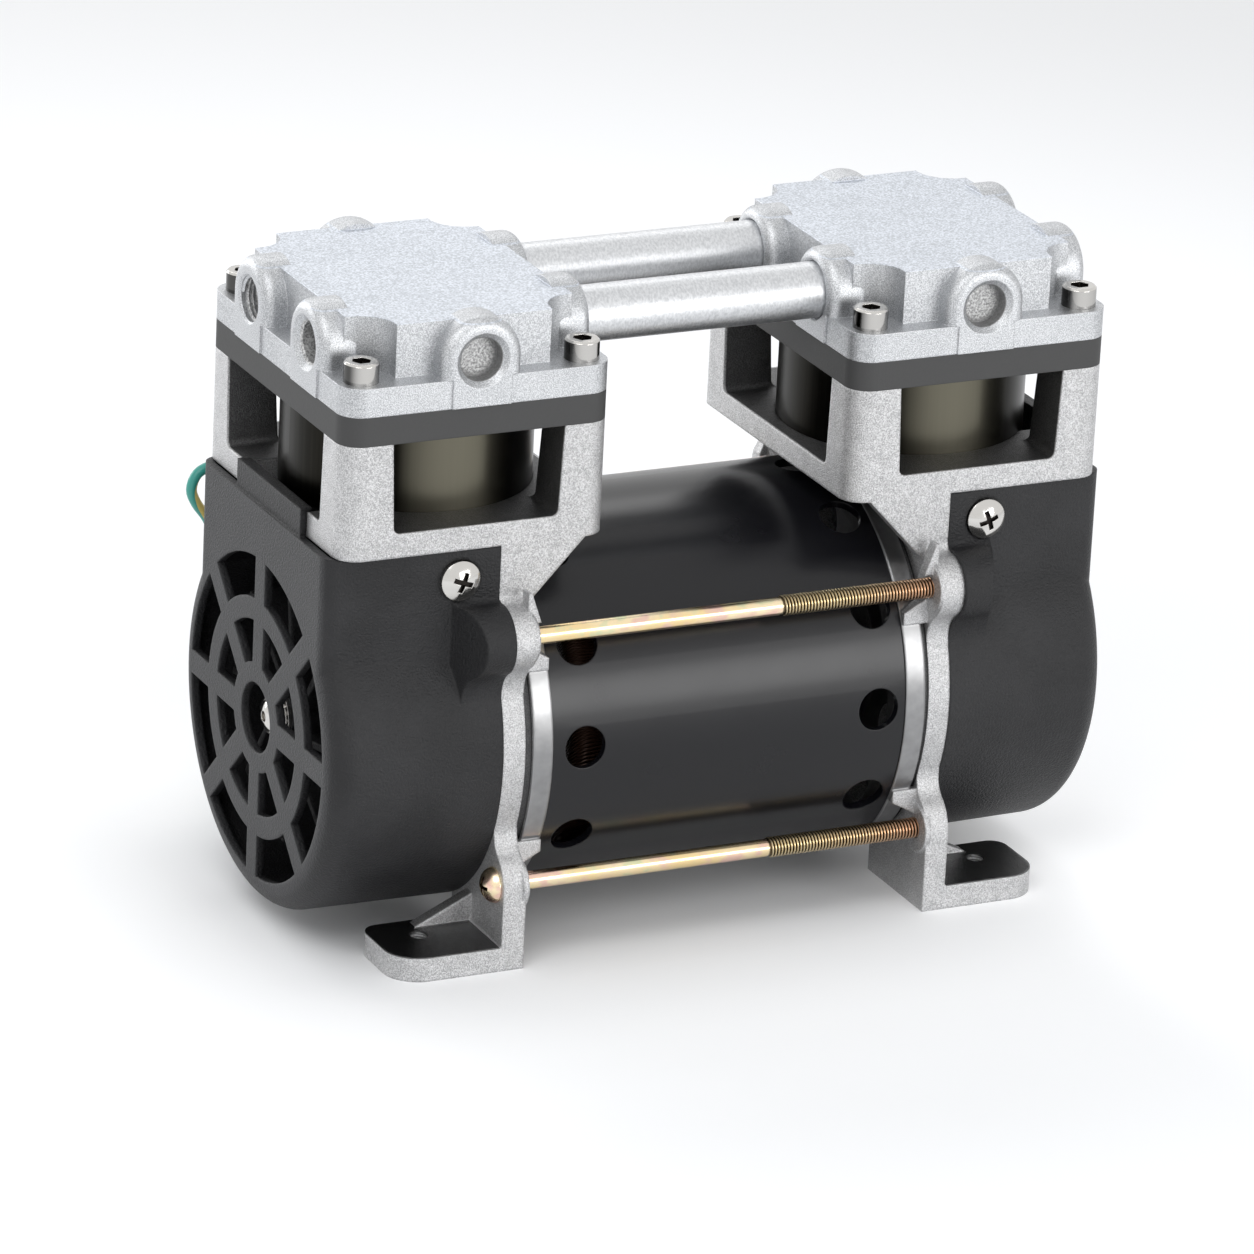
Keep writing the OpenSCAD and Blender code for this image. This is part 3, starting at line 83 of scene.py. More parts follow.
# %% Place the camera
azimuth, elevation, roll = (math.radians(a) for a in (-26.31, 20.56, 2.85))
back = Vector((math.sin(azimuth) * math.cos(elevation),
               -math.cos(azimuth) * math.cos(elevation), math.sin(elevation)))
level = Vector((math.cos(azimuth), math.sin(azimuth), 0))
upward = back.cross(level)
right = level * math.cos(roll) + upward * math.sin(roll)
up = upward * math.cos(roll) - level * math.sin(roll)
aim = Vector((0, 0, 0.1))
to_left, down, distance = 0.00674, 0.02439, 2.29048

bpy.ops.object.camera_add()
camera = bpy.context.object
camera.name = "camera"
stand = aim - right * to_left - up * down + back * distance
axes = Matrix((right, up, back)).transposed()
camera.matrix_world = Matrix.Translation(stand) @ axes.to_4x4()
camera.data.sensor_width = 36
camera.data.lens = 228.3
camera.data.clip_end = 20
bpy.context.scene.camera = camera
print("camera at", [round(v, 3) for v in camera.location])

# %% [markdown]
# ## The route of the earth lead
# A green and yellow earth wire leaves the left cover through a rubber grommet, drops
# behind the pump and lies on the floor. The length that is never seen is wound into a
# small coil of one and a half turns, and it ends in a crimped ring terminal. The drop and
# the tail are given by a few points, and a curve that passes through all of them keeps the
# bends soft. The coil is a circle that climbs by one thickness of wire, to cross itself.

# %% Route of the earth lead
lead_d = 3.2 * MM
coil_r = 17 * MM
coil_centre = Vector((-50, 99.6, 1.7)) * MM
coil_steps, coil_turns = 28, 1.5
drop_mm = [(-103, 51, 114), (-103.4, 55, 114.4), (-106.4, 58.4, 115.4),
           (-112, 59.4, 115.5), (-116.8, 59.4, 113.6), (-118.6, 59.4, 109),
           (-116.8, 59.6, 104.3), (-113, 60, 99), (-109.5, 60.6, 91), (-105, 62, 78),
           (-101, 64, 62), (-98, 65.5, 45), (-95.5, 67, 29.5), (-92, 69.5, 16.5),
           (-86.5, 73, 7), (-79, 78, 2.5), (-70, 81.5, 1.7), (-60, 82.6, 1.7),
           (-50, 82.6, 1.7)]
tail_mm = [(-50, 116.6, 4.9), (-57.5, 116, 4.5), (-64.5, 113.4, 3.3), (-70.3, 109, 2.1),
           (-74.2, 103.5, 1.7)]


def smooth_route(points_mm, steps=4):
    """A Catmull-Rom curve through the points, in metres."""
    p = [Vector(q) * MM for q in points_mm]
    last = len(p) - 1
    line = []
    for i in range(last):
        a, b, c, d = p[max(i - 1, 0)], p[i], p[i + 1], p[min(i + 2, last)]
        for k in range(steps):
            t = k / steps
            line.append(0.5 * (2 * b + (c - a) * t + (2 * a - 5 * b + 4 * c - d) * t * t
                               + (3 * b - a - 3 * c + d) * t * t * t))
    return line + [p[last]]


def coil_point(k):
    """Point k of the coil, which climbs in the second half of its first turn."""
    turn = k / coil_steps
    angle = (turn - 0.25) * 2 * math.pi
    rise = min(max((turn - 0.5) / 0.5, 0), 1)
    lift = lead_d * rise * rise * (3 - 2 * rise)
    return coil_centre + Vector((coil_r * math.cos(angle), coil_r * math.sin(angle), lift))


coil_line = [coil_point(k) for k in range(1, round(coil_steps * coil_turns))]
lead_line = smooth_route(drop_mm) + coil_line + smooth_route(tail_mm)
lead_length = sum((b - a).length for a, b in zip(lead_line, lead_line[1:]))
print("earth lead:", len(lead_line), "points,", round(lead_length, 4), "m")

# %% [markdown]
# ## The wire itself
# A curve with a round bevel draws a wire along any route. It is then turned into a mesh,
# because the mesh gets a UV map whose first direction runs along the wire and whose second
# runs round it, and that is what a stripe along the wire needs.

# %% Model the earth lead
bpy.ops.object.select_all(action="DESELECT")
bpy.ops.curve.primitive_bezier_curve_add()
lead = bpy.context.object
lead.name = "earth_lead_wire"
lead.data.splines.clear()
spline = lead.data.splines.new("POLY")
spline.points.add(len(lead_line) - 1)
for point, at in zip(spline.points, lead_line):
    point.co = (*at, 1)
lead.data.dimensions = "3D"
lead.data.twist_mode = "MINIMUM"
lead.data.bevel_depth = lead_d / 2
lead.data.bevel_resolution = 4
lead.data.use_fill_caps = True
bpy.ops.object.convert(target="MESH")
bpy.ops.object.shade_smooth_by_angle(angle=math.radians(40))
print("wire faces:", len(lead.data.polygons), "uv maps:", [u.name for u in lead.data.uv_layers])

# %% [markdown]
# ## One line for one node
# A finish is a tree of nodes. Setting up a node always takes the same steps: add it, choose
# its settings, then link or fill its sockets. One function does all of that.

# %% Add a node and fill its sockets
def connect(tree, socket, v):
    """Links a socket to a value, or sets it to a number or a colour."""
    if isinstance(v, Value):
        tree.links.new(v.socket, socket)
    elif isinstance(v, (int, float)):
        socket.default_value = v
    else:
        socket.default_value = (*v, 1.0) if len(socket.default_value) == 4 and len(v) == 3 else v


def add_node(tree, kind, sockets=(), output=0, **settings):
    """A new node with its settings and its sockets, as the value of one of its outputs."""
    n = tree.nodes.new(kind)
    for name, v in settings.items():
        setattr(n, name, v)
    for name, v in dict(sockets).items():
        connect(tree, n.inputs[name], v)
    return Value(tree, n.outputs[output])


print("nodes take one line each")

# %% [markdown]
# ## Shader sums
# Each finish is worked out from noise and from the place on the pump. Wiring such sums up
# by hand takes dozens of nodes, so a small class wraps a shader socket and turns plain
# Python sums into Math nodes. Colours go through Mix nodes, which keep them in colour.

# %% Sums of shader values
MIX_FACTOR, MIX_A, MIX_B, MIX_RESULT = 0, 6, 7, 2  # a Mix node's sockets for colours


class Value:
    """A shader socket that can be used in sums."""

    def __init__(self, tree, socket):
        self.tree, self.socket = tree, socket

    def math(self, operation, *others, flip=False):
        values = [*others, self] if flip else [self, *others]
        return add_node(self.tree, "ShaderNodeMath", enumerate(values), operation=operation)

    def __add__(self, o): return self.math("ADD", o)
    def __radd__(self, o): return self.math("ADD", o)
    def __sub__(self, o): return self.math("SUBTRACT", o)
    def __rsub__(self, o): return self.math("SUBTRACT", o, flip=True)
    def __mul__(self, o): return self.math("MULTIPLY", o)
    def __rmul__(self, o): return self.math("MULTIPLY", o)
    def __pow__(self, o): return self.math("POWER", o)

    def above(self, o): return self.math("GREATER_THAN", o)
    def below(self, o): return self.math("LESS_THAN", o)
    def between(self, low, high): return self.above(low) * self.below(high)
    def at_least(self, o): return self.math("MAXIMUM", o)
    def size(self): return self.math("ABSOLUTE")
    def sine(self): return self.math("SINE")
    def root(self): return self.math("SQRT")

    def ramp(self, low, high, to_low=0.0, to_high=1.0):
        """Goes smoothly from to_low to to_high while this goes from low to high."""
        return add_node(self.tree, "ShaderNodeMapRange",
                        {"Value": self, "From Min": low, "From Max": high,
                         "To Min": to_low, "To Max": to_high},
                        interpolation_type="SMOOTHSTEP")

    def mix(self, a, b):
        """Colour a where this is 0, colour b where it is 1."""
        return add_node(self.tree, "ShaderNodeMix", {MIX_FACTOR: self, MIX_A: a, MIX_B: b},
                        output=MIX_RESULT, data_type="RGBA")

    def split(self):
        """The three parts of a vector."""
        parts = add_node(self.tree, "ShaderNodeSeparateXYZ", {0: self}).socket.node.outputs
        return [Value(self.tree, part) for part in parts]


def away_from(a, axis_a, b, axis_b):
    """Distance from the nearest of the four axes at plus or minus axis_a, axis_b."""
    u, v = a.size() - axis_a, b.size() - axis_b
    return (u * u + v * v).root()


print("a value can:", ", ".join(name for name in vars(Value) if not name.startswith("_")))

# %% [markdown]
# ## What a finish is made of
# Every finish is one Principled shader. Its colour and roughness are fed by sums, its grain
# by a bump, and its edges are shaded as if they were a little rounded, because no real
# edge is perfectly sharp and the light that an edge catches tells the eye so.

# %% A material with short ways to feed it
finish = {}


class Finish:
    """A material with one Principled shader, kept under its name."""

    def __init__(self, name, colour, roughness, metallic=0.0, specular=0.5):
        self.material = bpy.data.materials.new(name)
        self.material.use_nodes = True
        self.tree = self.material.node_tree
        self.shader = self.tree.nodes["Principled BSDF"]
        self.set("Base Color", colour)
        self.set("Roughness", roughness)
        self.set("Metallic", metallic)
        self.set("Specular IOR Level", specular)
        self.normal = None
        finish[name] = self

    def node(self, kind, sockets=(), output=0, **settings):
        return add_node(self.tree, kind, sockets, output, **settings)

    def set(self, name, v):
        connect(self.tree, self.shader.inputs[name], v)

    def place(self):
        """X, Y and Z of the point, in metres."""
        return self.node("ShaderNodeTexCoord", output="Object").split()

    def uv(self):
        """The two directions of the piece's own UV map."""
        return self.node("ShaderNodeTexCoord", output="UV").split()[:2]

    def noise(self, scale, detail=3.0, roughness=0.5, stretch=None):
        at = self.node("ShaderNodeTexCoord", output="Object")
        if stretch:
            at = self.node("ShaderNodeVectorMath", {0: at, 1: stretch}, operation="MULTIPLY")
        return self.node("ShaderNodeTexNoise",
                         {"Vector": at, "Scale": scale, "Detail": detail, "Roughness": roughness},
                         output="Fac")

    def soft_edges(self, radius):
        """Shades sharp edges as if they were rounded to this radius."""
        self.normal = self.node("ShaderNodeBevel", {"Radius": radius}, samples=6)
        self.set("Normal", self.normal)

    def bump(self, height, distance, strength=1.0):
        sockets = {"Height": height, "Distance": distance, "Strength": strength}
        if self.normal:
            sockets["Normal"] = self.normal
        self.normal = self.node("ShaderNodeBump", sockets)
        self.set("Normal", self.normal)


black, white = (0.0, 0.0, 0.0), (1.0, 1.0, 1.0)
print("a finish can:", ", ".join(name for name in vars(Finish) if not name.startswith("_")))

# %% [markdown]
# ## Blasted aluminium, on the heads
# The heads are blasted with fine grit after machining. Grain is a fine noise that feeds the
# colour, the bump and, a little, the roughness. A noise fades to nothing on a plane that
# falls on its own grid, and the deck of the heads lies at a round height, so the deck
# gets a coarser grain whose scale keeps clear of that. The deck is also painted lighter and
# bluer than the walls, a painted reflection of the sky. The blind holes in the heads keep
# the rough skin of the mould at their bottoms, and the side holes get a ring of painted
# shade next to their walls.

# %% Finish of the heads
head_skin = Finish("blasted_aluminium", (0.80, 0.81, 0.83), 0.42, 1.0)
x, y, z = head_skin.place()
head_skin.soft_edges(0.4 * MM)
deck = z.between(deck_z - 0.2 * MM, deck_z + 0.2 * MM)
grain = head_skin.noise(3350, 2.0) * (1 - deck) + head_skin.noise(1850, 2.0) * deck
patches = head_skin.noise(60, 3.0)
speck = (grain * 0.9 + patches * 0.1).ramp(0.36, 0.64)
walls = speck.mix((0.36, 0.37, 0.385), (0.69, 0.70, 0.715))
# Painted reflection of the sky: the deck is painted lighter and bluer than the walls.
deck_painted_sky = speck.mix((0.44, 0.465, 0.50), (0.70, 0.73, 0.785))

hole_r, hole_shade_start, hole_shade_end = 6.5 * MM, 4.4 * MM, 6.2 * MM
from_side_hole = away_from(x, cylinder_x, z, head_hole_z)
from_end_hole = away_from(y, head_hole_y, z, head_hole_z)
side_hole = from_side_hole.below(hole_r) * y.size().between(40 * MM, 48 * MM)
end_hole = from_end_hole.below(hole_r) * x.size().between(108 * MM, 118.2 * MM)
hole = side_hole + end_hole
# Painted shade: the bottoms of the side holes darken towards their walls.
hole_painted_shade = from_side_hole.ramp(hole_shade_start, hole_shade_end) * side_hole
pits = head_skin.noise(1500, 3.0, 0.7)
pit_dark, pit_light = (0.28, 0.28, 0.28), (0.74, 0.74, 0.74)
hole_bottom = (pits.ramp(0.35, 0.65) * (1 - hole_painted_shade * 0.8)).mix(pit_dark, pit_light)
head_skin.set("Base Color", hole.mix(deck.mix(walls, deck_painted_sky), hole_bottom))
head_skin.set("Roughness", 0.36 + grain * 0.14 + patches * 0.06 + hole * 0.15)
head_skin.bump(grain * (1 - hole) + pits * hole * 3, 0.11 * MM, 0.8)
print("grain of the heads: about", round(1000 / 3350, 1), "mm")

# %% [markdown]
# ## Cast aluminium, on the end castings
# The end castings are left as they came from the mould, with a coarser grain and broad
# lumps. Only some faces are machined: the ring that holds the motor shell is turned, and
# the tops of the feet are milled smooth and painted dark, a painted reflection of the dark
# motor above them. The window openings round the cylinders get little light and look darker
# than the outside. The tapped foot holes get painted shade at the roots of their threads and
# painted glints at the crests, and the part of the casting inside the motor shell is painted
# dark, as painted shade.

# %% Finish of the end castings
cast_skin = Finish("cast_aluminium", (0.72, 0.73, 0.75), 0.5, 1.0)
x, y, z = cast_skin.place()
cast_skin.soft_edges(1.1 * MM)
grain = cast_skin.noise(2600, 3.0, 0.6)
lumps = cast_skin.noise(260, 2.0)

from_shaft = away_from(y, 0, z - shaft_z, 0)
ring = from_shaft.between(57.0 * MM, 58.5 * MM) * x.size().between(55.7 * MM, 61.9 * MM)
# Painted shade: the casting inside the motor shell is darkened.
spigot_painted_shade = from_shaft.below(56.6 * MM) * x.size().below(63.7 * MM)

window_x, window_y, window_r = 33.7 * MM, 42 * MM, 6.3 * MM
past_x = ((x.size() - cylinder_x).size() - window_x).at_least(0.0)
past_y = (y.size() - window_y).at_least(0.0)
inside_posts = (past_x * past_x + past_y * past_y).root().below(window_r)
opening = inside_posts * z.between(130.6 * MM, 157.6 * MM)

# Painted reflection: the milled foot tops are darkened as if they mirrored the dark motor.
milled_foot_top_painted_dark = z.between(7.0 * MM, 7.6 * MM) * x.size().above(71 * MM)
from_foot_hole = away_from(x, foot_hole_x, y, foot_hole_y)
# Painted shade at the thread roots of the foot holes, and a painted glint at the crests.
foot_hole_painted_shade_and_glint = (from_foot_hole.below(2.6 * MM) * z.below(7.25 * MM)
               * from_foot_hole.ramp(2.25 * MM, 2.5 * MM, -0.5, 0.75))

shade = (1 - opening * 0.72 - milled_foot_top_painted_dark * 0.70 * (1 - foot_hole_painted_shade_and_glint) - foot_hole_painted_shade_and_glint
         - ring * 0.42 - spigot_painted_shade * 0.75)
skin = (grain * 0.88 + lumps * 0.12).ramp(0.33, 0.67)
cast_dark, cast_light = (0.35, 0.35, 0.355), (0.71, 0.71, 0.715)
metal = (skin * (1 - ring) + ring * (0.1 + lumps * 0.7)).mix(cast_dark, cast_light)
cast_skin.set("Base Color", shade.mix(black, metal))
cast_skin.set("Roughness", (1 - ring) * (1 - milled_foot_top_painted_dark) * (0.42 + grain * 0.16)
              + ring * 0.30 + milled_foot_top_painted_dark * 0.24)
cast_skin.bump((grain + lumps * 0.3) * (1 - ring), 0.3 * MM, 0.8)
print("grain of the castings: about", round(1000 / 2600, 1), "mm")

# %% [markdown]
# ## Turned aluminium, on the tubes
# The two transfer tubes are cut on a lathe, which leaves fine rings round them. A noise
# that is squeezed along X changes faster along the tube than round it, and reads as rings.

# %% Finish of the tubes
tube_skin = Finish("turned_aluminium", (0.66, 0.67, 0.685), 0.3, 1.0)
tube_skin.soft_edges(0.4 * MM)
rings = tube_skin.noise(1650, 3.0, 0.6, (1.0, 0.6, 0.6))
tube_skin.set("Base Color", rings.ramp(0.3, 0.7).mix((0.56, 0.57, 0.585), (0.74, 0.75, 0.765)))
tube_skin.set("Roughness", 0.34 + rings * 0.16)
tube_skin.bump(rings, 0.12 * MM, 0.7)
print("finishes so far:", len(finish))

# %% [markdown]
# ## Bright nickel, on the screws
# The screws are plated and polished, so most of what they show is mirrored. Two things
# have to be told by their place. The sockets and cross recesses are too narrow for much
# light and are painted dark. The round walls of the cap screws get painted shade, so they
# are darker than their tops, and keep a painted highlight on the sides that face the front
# or the back of the pump.

# %% Finish of the screws
screw_skin = Finish("nickel", (0.80, 0.78, 0.74), 0.16, 1.0)
x, y, z = screw_skin.place()
screw_skin.soft_edges(0.35 * MM)
from_cap_screw = away_from(x.size() - cylinder_x, cap_screw_dx, y, cap_screw_y)
socket = from_cap_screw.below(2.7 * MM) * z.between(172 * MM, 179.9 * MM)
# Painted shade on the round walls of the cap screws, with a painted highlight where they face the
# front or the back.
cap_wall_painted_shade = from_cap_screw.above(4.7 * MM) * z.between(172 * MM, 179.8 * MM)
facing_painted_highlight = (y.size() - cap_screw_y).ramp(2.0 * MM, 4.9 * MM)

dome_y, dome_r, recess_r = 42.2 * MM, 9 * MM, 3.3 * MM
from_cover_screw = away_from(x, cover_screw_x, z - cover_screw_z, 0)
from_dome_y = y.size() - dome_y
under_dome = (from_cover_screw * from_cover_screw
              + from_dome_y * from_dome_y).below(dome_r * dome_r)
cross = from_cover_screw.below(recess_r) * under_dome * y.size().above(46 * MM)

recess = socket + cross
wall_painted_light = 1 - cap_wall_painted_shade * (1 - facing_painted_highlight * 0.8) * 0.9
plated = wall_painted_light.mix((0.02, 0.02, 0.02), (0.64, 0.625, 0.60))
screw_skin.set("Base Color", recess.mix(plated, (0.03, 0.026, 0.024)))
screw_skin.set("Roughness", 0.08 + screw_skin.noise(700, 3.0) * 0.10 + recess * 0.3)
print("finishes so far:", len(finish))

# %% [markdown]
# ## Yellow zinc, on the tie bolts
# Yellow passivated zinc is gold with drifting pink and green tints. Two slow noises pick
# the tint. The threaded end is duller and more copper, and the roots of the thread and the
# cross recess in each head are dark, because little light gets in.

# %% Finish of the tie bolts
bolt_skin = Finish("gold_zinc", (0.80, 0.68, 0.40), 0.22, 1.0)
x, y, z = bolt_skin.place()
drift = bolt_skin.noise(90, 2.0, 0.5, (0.5, 1.0, 1.0))
tint = bolt_skin.noise(210, 2.0, 0.5, (0.7, 1.0, 1.0))
gold = drift.ramp(0.35, 0.65).mix((0.94, 0.72, 0.38), (0.95, 0.80, 0.54))
pink = tint.ramp(0.49, 0.66).mix(gold, (0.88, 0.60, 0.49))
green = tint.ramp(0.42, 0.28).mix(pink, (0.74, 0.74, 0.47))
copper = (x + drift * 0.02).ramp(35 * MM, 85 * MM).mix((0.74, 0.62, 0.40), (0.62, 0.36, 0.24))
thread = x.ramp(bolt_thread_x - 1 * MM, bolt_thread_x + 1 * MM)

from_bolt = away_from(y, bolt_y, z - shaft_z, bolt_dz)
cross = from_bolt.below(2.9 * MM) * x.between(bolt_start + 0.95 * MM, bolt_start + 5 * MM)
root = from_bolt.below(2.72 * MM) * x.above(bolt_thread_x)
plated, unlit = thread.mix(green, copper), (0.05, 0.03, 0.015)
bolt_skin.set("Base Color", (cross + root * 0.85).mix(plated, unlit))
bolt_skin.set("Roughness", 0.16 + drift * 0.10 + thread * 0.08)
print("finishes so far:", len(finish))

# %% [markdown]
# ## Black plastic, on the covers
# The covers have a fine leather-like texture from the mould, which scatters the light into
# a soft dark grey. The flat ends with the grilles get a painted sheen, a little lighter than
# the sides.

# %% Finish of the covers
cover_skin = Finish("black_plastic", (0.018, 0.018, 0.020), 0.42, specular=0.36)
cover_skin.soft_edges(1.2 * MM)
x = cover_skin.place()[0]
leather = cover_skin.noise(1500, 3.0, 0.55)
wear = cover_skin.noise(40, 3.0)
# Painted sheen: the grille ends are painted a little lighter; the random patches are wear.
end_face_painted_sheen = x.size().ramp(121.0 * MM, 121.7 * MM)
wear_and_painted_sheen = wear.ramp(0.35, 0.7) * 0.4 + end_face_painted_sheen * 0.6
cover_skin.set("Base Color", wear_and_painted_sheen.mix((0.010, 0.010, 0.011), (0.030, 0.030, 0.032)))
cover_skin.set("Roughness", 0.36 + leather * 0.14 + wear * 0.06)
cover_skin.bump(leather, 0.45 * MM, 1.0)
print("finishes so far:", len(finish))

# %% [markdown]
# ## Black paint, on the motor shell
# The motor shell is a steel tube with sprayed paint, smoother and glossier than the
# covers. Sprayed paint is never quite flat: a faint, broad bump gives it orange peel.

# %% Finish of the motor shell
shell_skin = Finish("black_shell", (0.004, 0.004, 0.0055), 0.26, specular=0.42)
shell_skin.soft_edges(0.5 * MM)
shell_skin.set("Roughness", 0.22 + shell_skin.noise(60, 3.0) * 0.08)
shell_skin.bump(shell_skin.noise(420, 2.0), 0.03 * MM, 0.2)
print("finishes so far:", len(finish))

# %% [markdown]
# ## The sleeves and the valve plates
# The sleeves are anodised a dark bronze, with faint upright lines from the lathe: a noise
# that is stretched along Z. The front and back of each sleeve look out of the windows and
# get a painted highlight; the sides are painted dark, as painted shade. The valve plates
# are a flat grey, and hardly metallic.

# %% Finish of the sleeves and the valve plates
sleeve_skin = Finish("anodised", (0.10, 0.085, 0.070), 0.36, 1.0)
y = sleeve_skin.place()[1]
lines = sleeve_skin.noise(800, 3.0, 0.6, (1.0, 1.0, 0.02))
# Painted highlight on the front and back of each sleeve, painted shade on its sides.
sleeve_painted_highlight = y.size().ramp(30.8 * MM, 36.2 * MM)
bronze_painted_shade, bronze_painted_light = (0.010, 0.0092, 0.0074), (0.145, 0.136, 0.104)
lines_and_painted_light = sleeve_painted_highlight * 0.94 + lines * 0.12 - 0.03
sleeve_skin.set("Base Color", lines_and_painted_light.mix(bronze_painted_shade, bronze_painted_light))
sleeve_skin.set("Roughness", 0.26 + lines * 0.06)

plate_skin = Finish("dark_plate", (0.058, 0.058, 0.058), 0.62, 0.25)
plate_skin.soft_edges(0.5 * MM)
plate_grain = plate_skin.noise(1700, 3.0)
plate_skin.set("Roughness", 0.55 + plate_grain * 0.14)
plate_skin.bump(plate_grain, 0.1 * MM, 0.4)
print("finishes so far:", len(finish))

# %% [markdown]
# ## Parts inside the motor
# The vent holes give a glimpse of the windings, and the core lies behind them. Both are
# painted very dark, as painted shade for the inside of the shell. The core is a stack of
# half-millimetre sheets, so a sine along X gives it ridges. The windings are bundles of
# varnished copper wire: a sine across them, bent by a slow noise.

# %% Finish of the core and the windings
# Painted shade: the core is painted very dark.
core_skin = Finish("core_steel", (0.07, 0.07, 0.075), 0.5, 1.0)
sheet, strand = 0.5 * MM, 1.1 * MM
x = core_skin.place()[0]
core_skin.bump((x * (2 * math.pi / sheet)).sine(), 0.05 * MM, 0.6)
core_skin.set("Roughness", 0.45 + core_skin.noise(500) * 0.15)

# Painted shade: the windings are painted very dark.
winding_skin = Finish("copper_winding", (0.034, 0.014, 0.007), 0.45, 0.5)
y, z = winding_skin.place()[1:]
strands = ((y + z) * (2 * math.pi / strand) + winding_skin.noise(120) * 9).sine()
winding_skin.bump(strands, 0.3 * MM, 0.8)
winding_skin.set("Roughness", 0.28 + winding_skin.noise(200) * 0.2)
print("finishes so far:", len(finish))

# %% [markdown]
# ## Plain finishes of the small and hidden parts
# Shafts, bearings, reeds, seals and cups are of one even colour, and only their roughness
# wanders a little, so that no surface is dead even. One table does for all of them. Each
# row gives the colour, the metallic share, the least roughness, how much the noise adds,
# and the scale of the noise.

# %% Finishes of the small and hidden parts
plain = {
    "steel": ((0.52, 0.53, 0.55), 1.0, 0.28, 0.15, 900),
    "bearing_steel": ((0.76, 0.77, 0.79), 1.0, 0.10, 0.08, 300),
    "spring_steel": ((0.58, 0.62, 0.70), 1.0, 0.16, 0.1, 400),
    "tinned": ((0.78, 0.76, 0.70), 1.0, 0.25, 0.15, 900),
    "black_rubber": ((0.015, 0.015, 0.015), 0.0, 0.60, 0.12, 900),
    "gasket": ((0.05, 0.05, 0.052), 0.0, 0.70, 0.12, 900),
    "cup_composite": ((0.06, 0.05, 0.04), 0.0, 0.48, 0.12, 600),
}
for name, (colour, metallic, smooth, wander, scale) in plain.items():
    small_skin = Finish(name, colour, smooth, metallic)
    small_skin.set("Roughness", smooth + small_skin.noise(scale) * wander)
finish["steel"].soft_edges(0.3 * MM)
print("finishes so far:", len(finish))

# %% [markdown]
# ## The striped wire
# An earth wire is green with a yellow stripe, and a wire that hangs free twists a little.
# The stripe is a sine of the direction round the wire, which also moves on along it, so
# that it winds about the wire three times from end to end.

# %% Finish of the earth lead
wire_skin = Finish("cable_green", (0.03, 0.30, 0.14), 0.35)
along, around = wire_skin.uv()
twists, first_turn = 3.1, 0.02
stripe = ((around - along * twists - first_turn) * (2 * math.pi)).sine()
wire_green, wire_yellow = (0.050, 0.330, 0.275), (0.74, 0.58, 0.18)
wire_skin.set("Base Color", stripe.ramp(0.53, 0.64).mix(wire_green, wire_yellow))
wire_skin.set("Roughness", 0.30 + wire_skin.noise(300) * 0.1)
print("finishes:", len(finish))

# %% [markdown]
# ## Dressing the CAD parts
# Each CAD part names the finish that it is made of, so one loop dresses all of them.

# %% Give every CAD part its finish
slots = {row["node"]: row["material_slot"] for row in frame["record"]["subparts"]}
for name, part in nodes.items():
    part.data.materials.clear()
    part.data.materials.append(finish[slots[name]].material)
print("dressed parts:", len(nodes))

# %% [markdown]
# ## Turning a part
# A bolt is round, so it is made as on a lathe: its outline is spun round the X axis. The
# outline is drawn a point at a time by extruding a single vertex, as it would be drawn by
# hand. It starts and ends on the axis, so the doubled points there are merged.

# %% Draw an outline and spin it
def draw_outline(name, points):
    """An open line through the points, left in edit mode with everything selected."""
    bpy.ops.object.select_all(action="DESELECT")
    bpy.ops.mesh.primitive_plane_add(size=MM, location=(0, 0, 0))
    o = bpy.context.object
    o.name = o.data.name = name
    bpy.ops.object.mode_set(mode="EDIT")
    bpy.ops.mesh.merge(type="CENTER")
    here = Vector((0, 0, 0))
    for i, (x, r) in enumerate(points):
        step = Vector((x, r, 0)) - here
        if i == 0:
            bpy.ops.transform.translate(value=step)
        else:
            bpy.ops.mesh.extrude_vertices_move(TRANSFORM_OT_translate={"value": step})
        here += step
    bpy.ops.mesh.select_all(action="SELECT")
    return o


def turned(name, points, steps):
    """The outline spun round the X axis. It starts and ends on the axis."""
    o = draw_outline(name, points)
    bpy.ops.mesh.spin(steps=steps, angle=2 * math.pi, center=(0, 0, 0), axis=(1, 0, 0))
    bpy.ops.mesh.select_all(action="SELECT")
    bpy.ops.mesh.remove_doubles(threshold=1e-6)
    bpy.ops.mesh.normals_make_consistent(inside=False)
    bpy.ops.object.mode_set(mode="OBJECT")
    return o


print("an outline can be spun into a turned part")

# %% [markdown]
# ## Winding a thread
# A bump in the material would fake a thread, but its edge would stay straight. A real one
# is little work: the outline of one tooth is wound along the axis by the Screw modifier,
# and both ends are closed. The ridge is a shell of its own that is sunk a little into the
# smooth part below it.

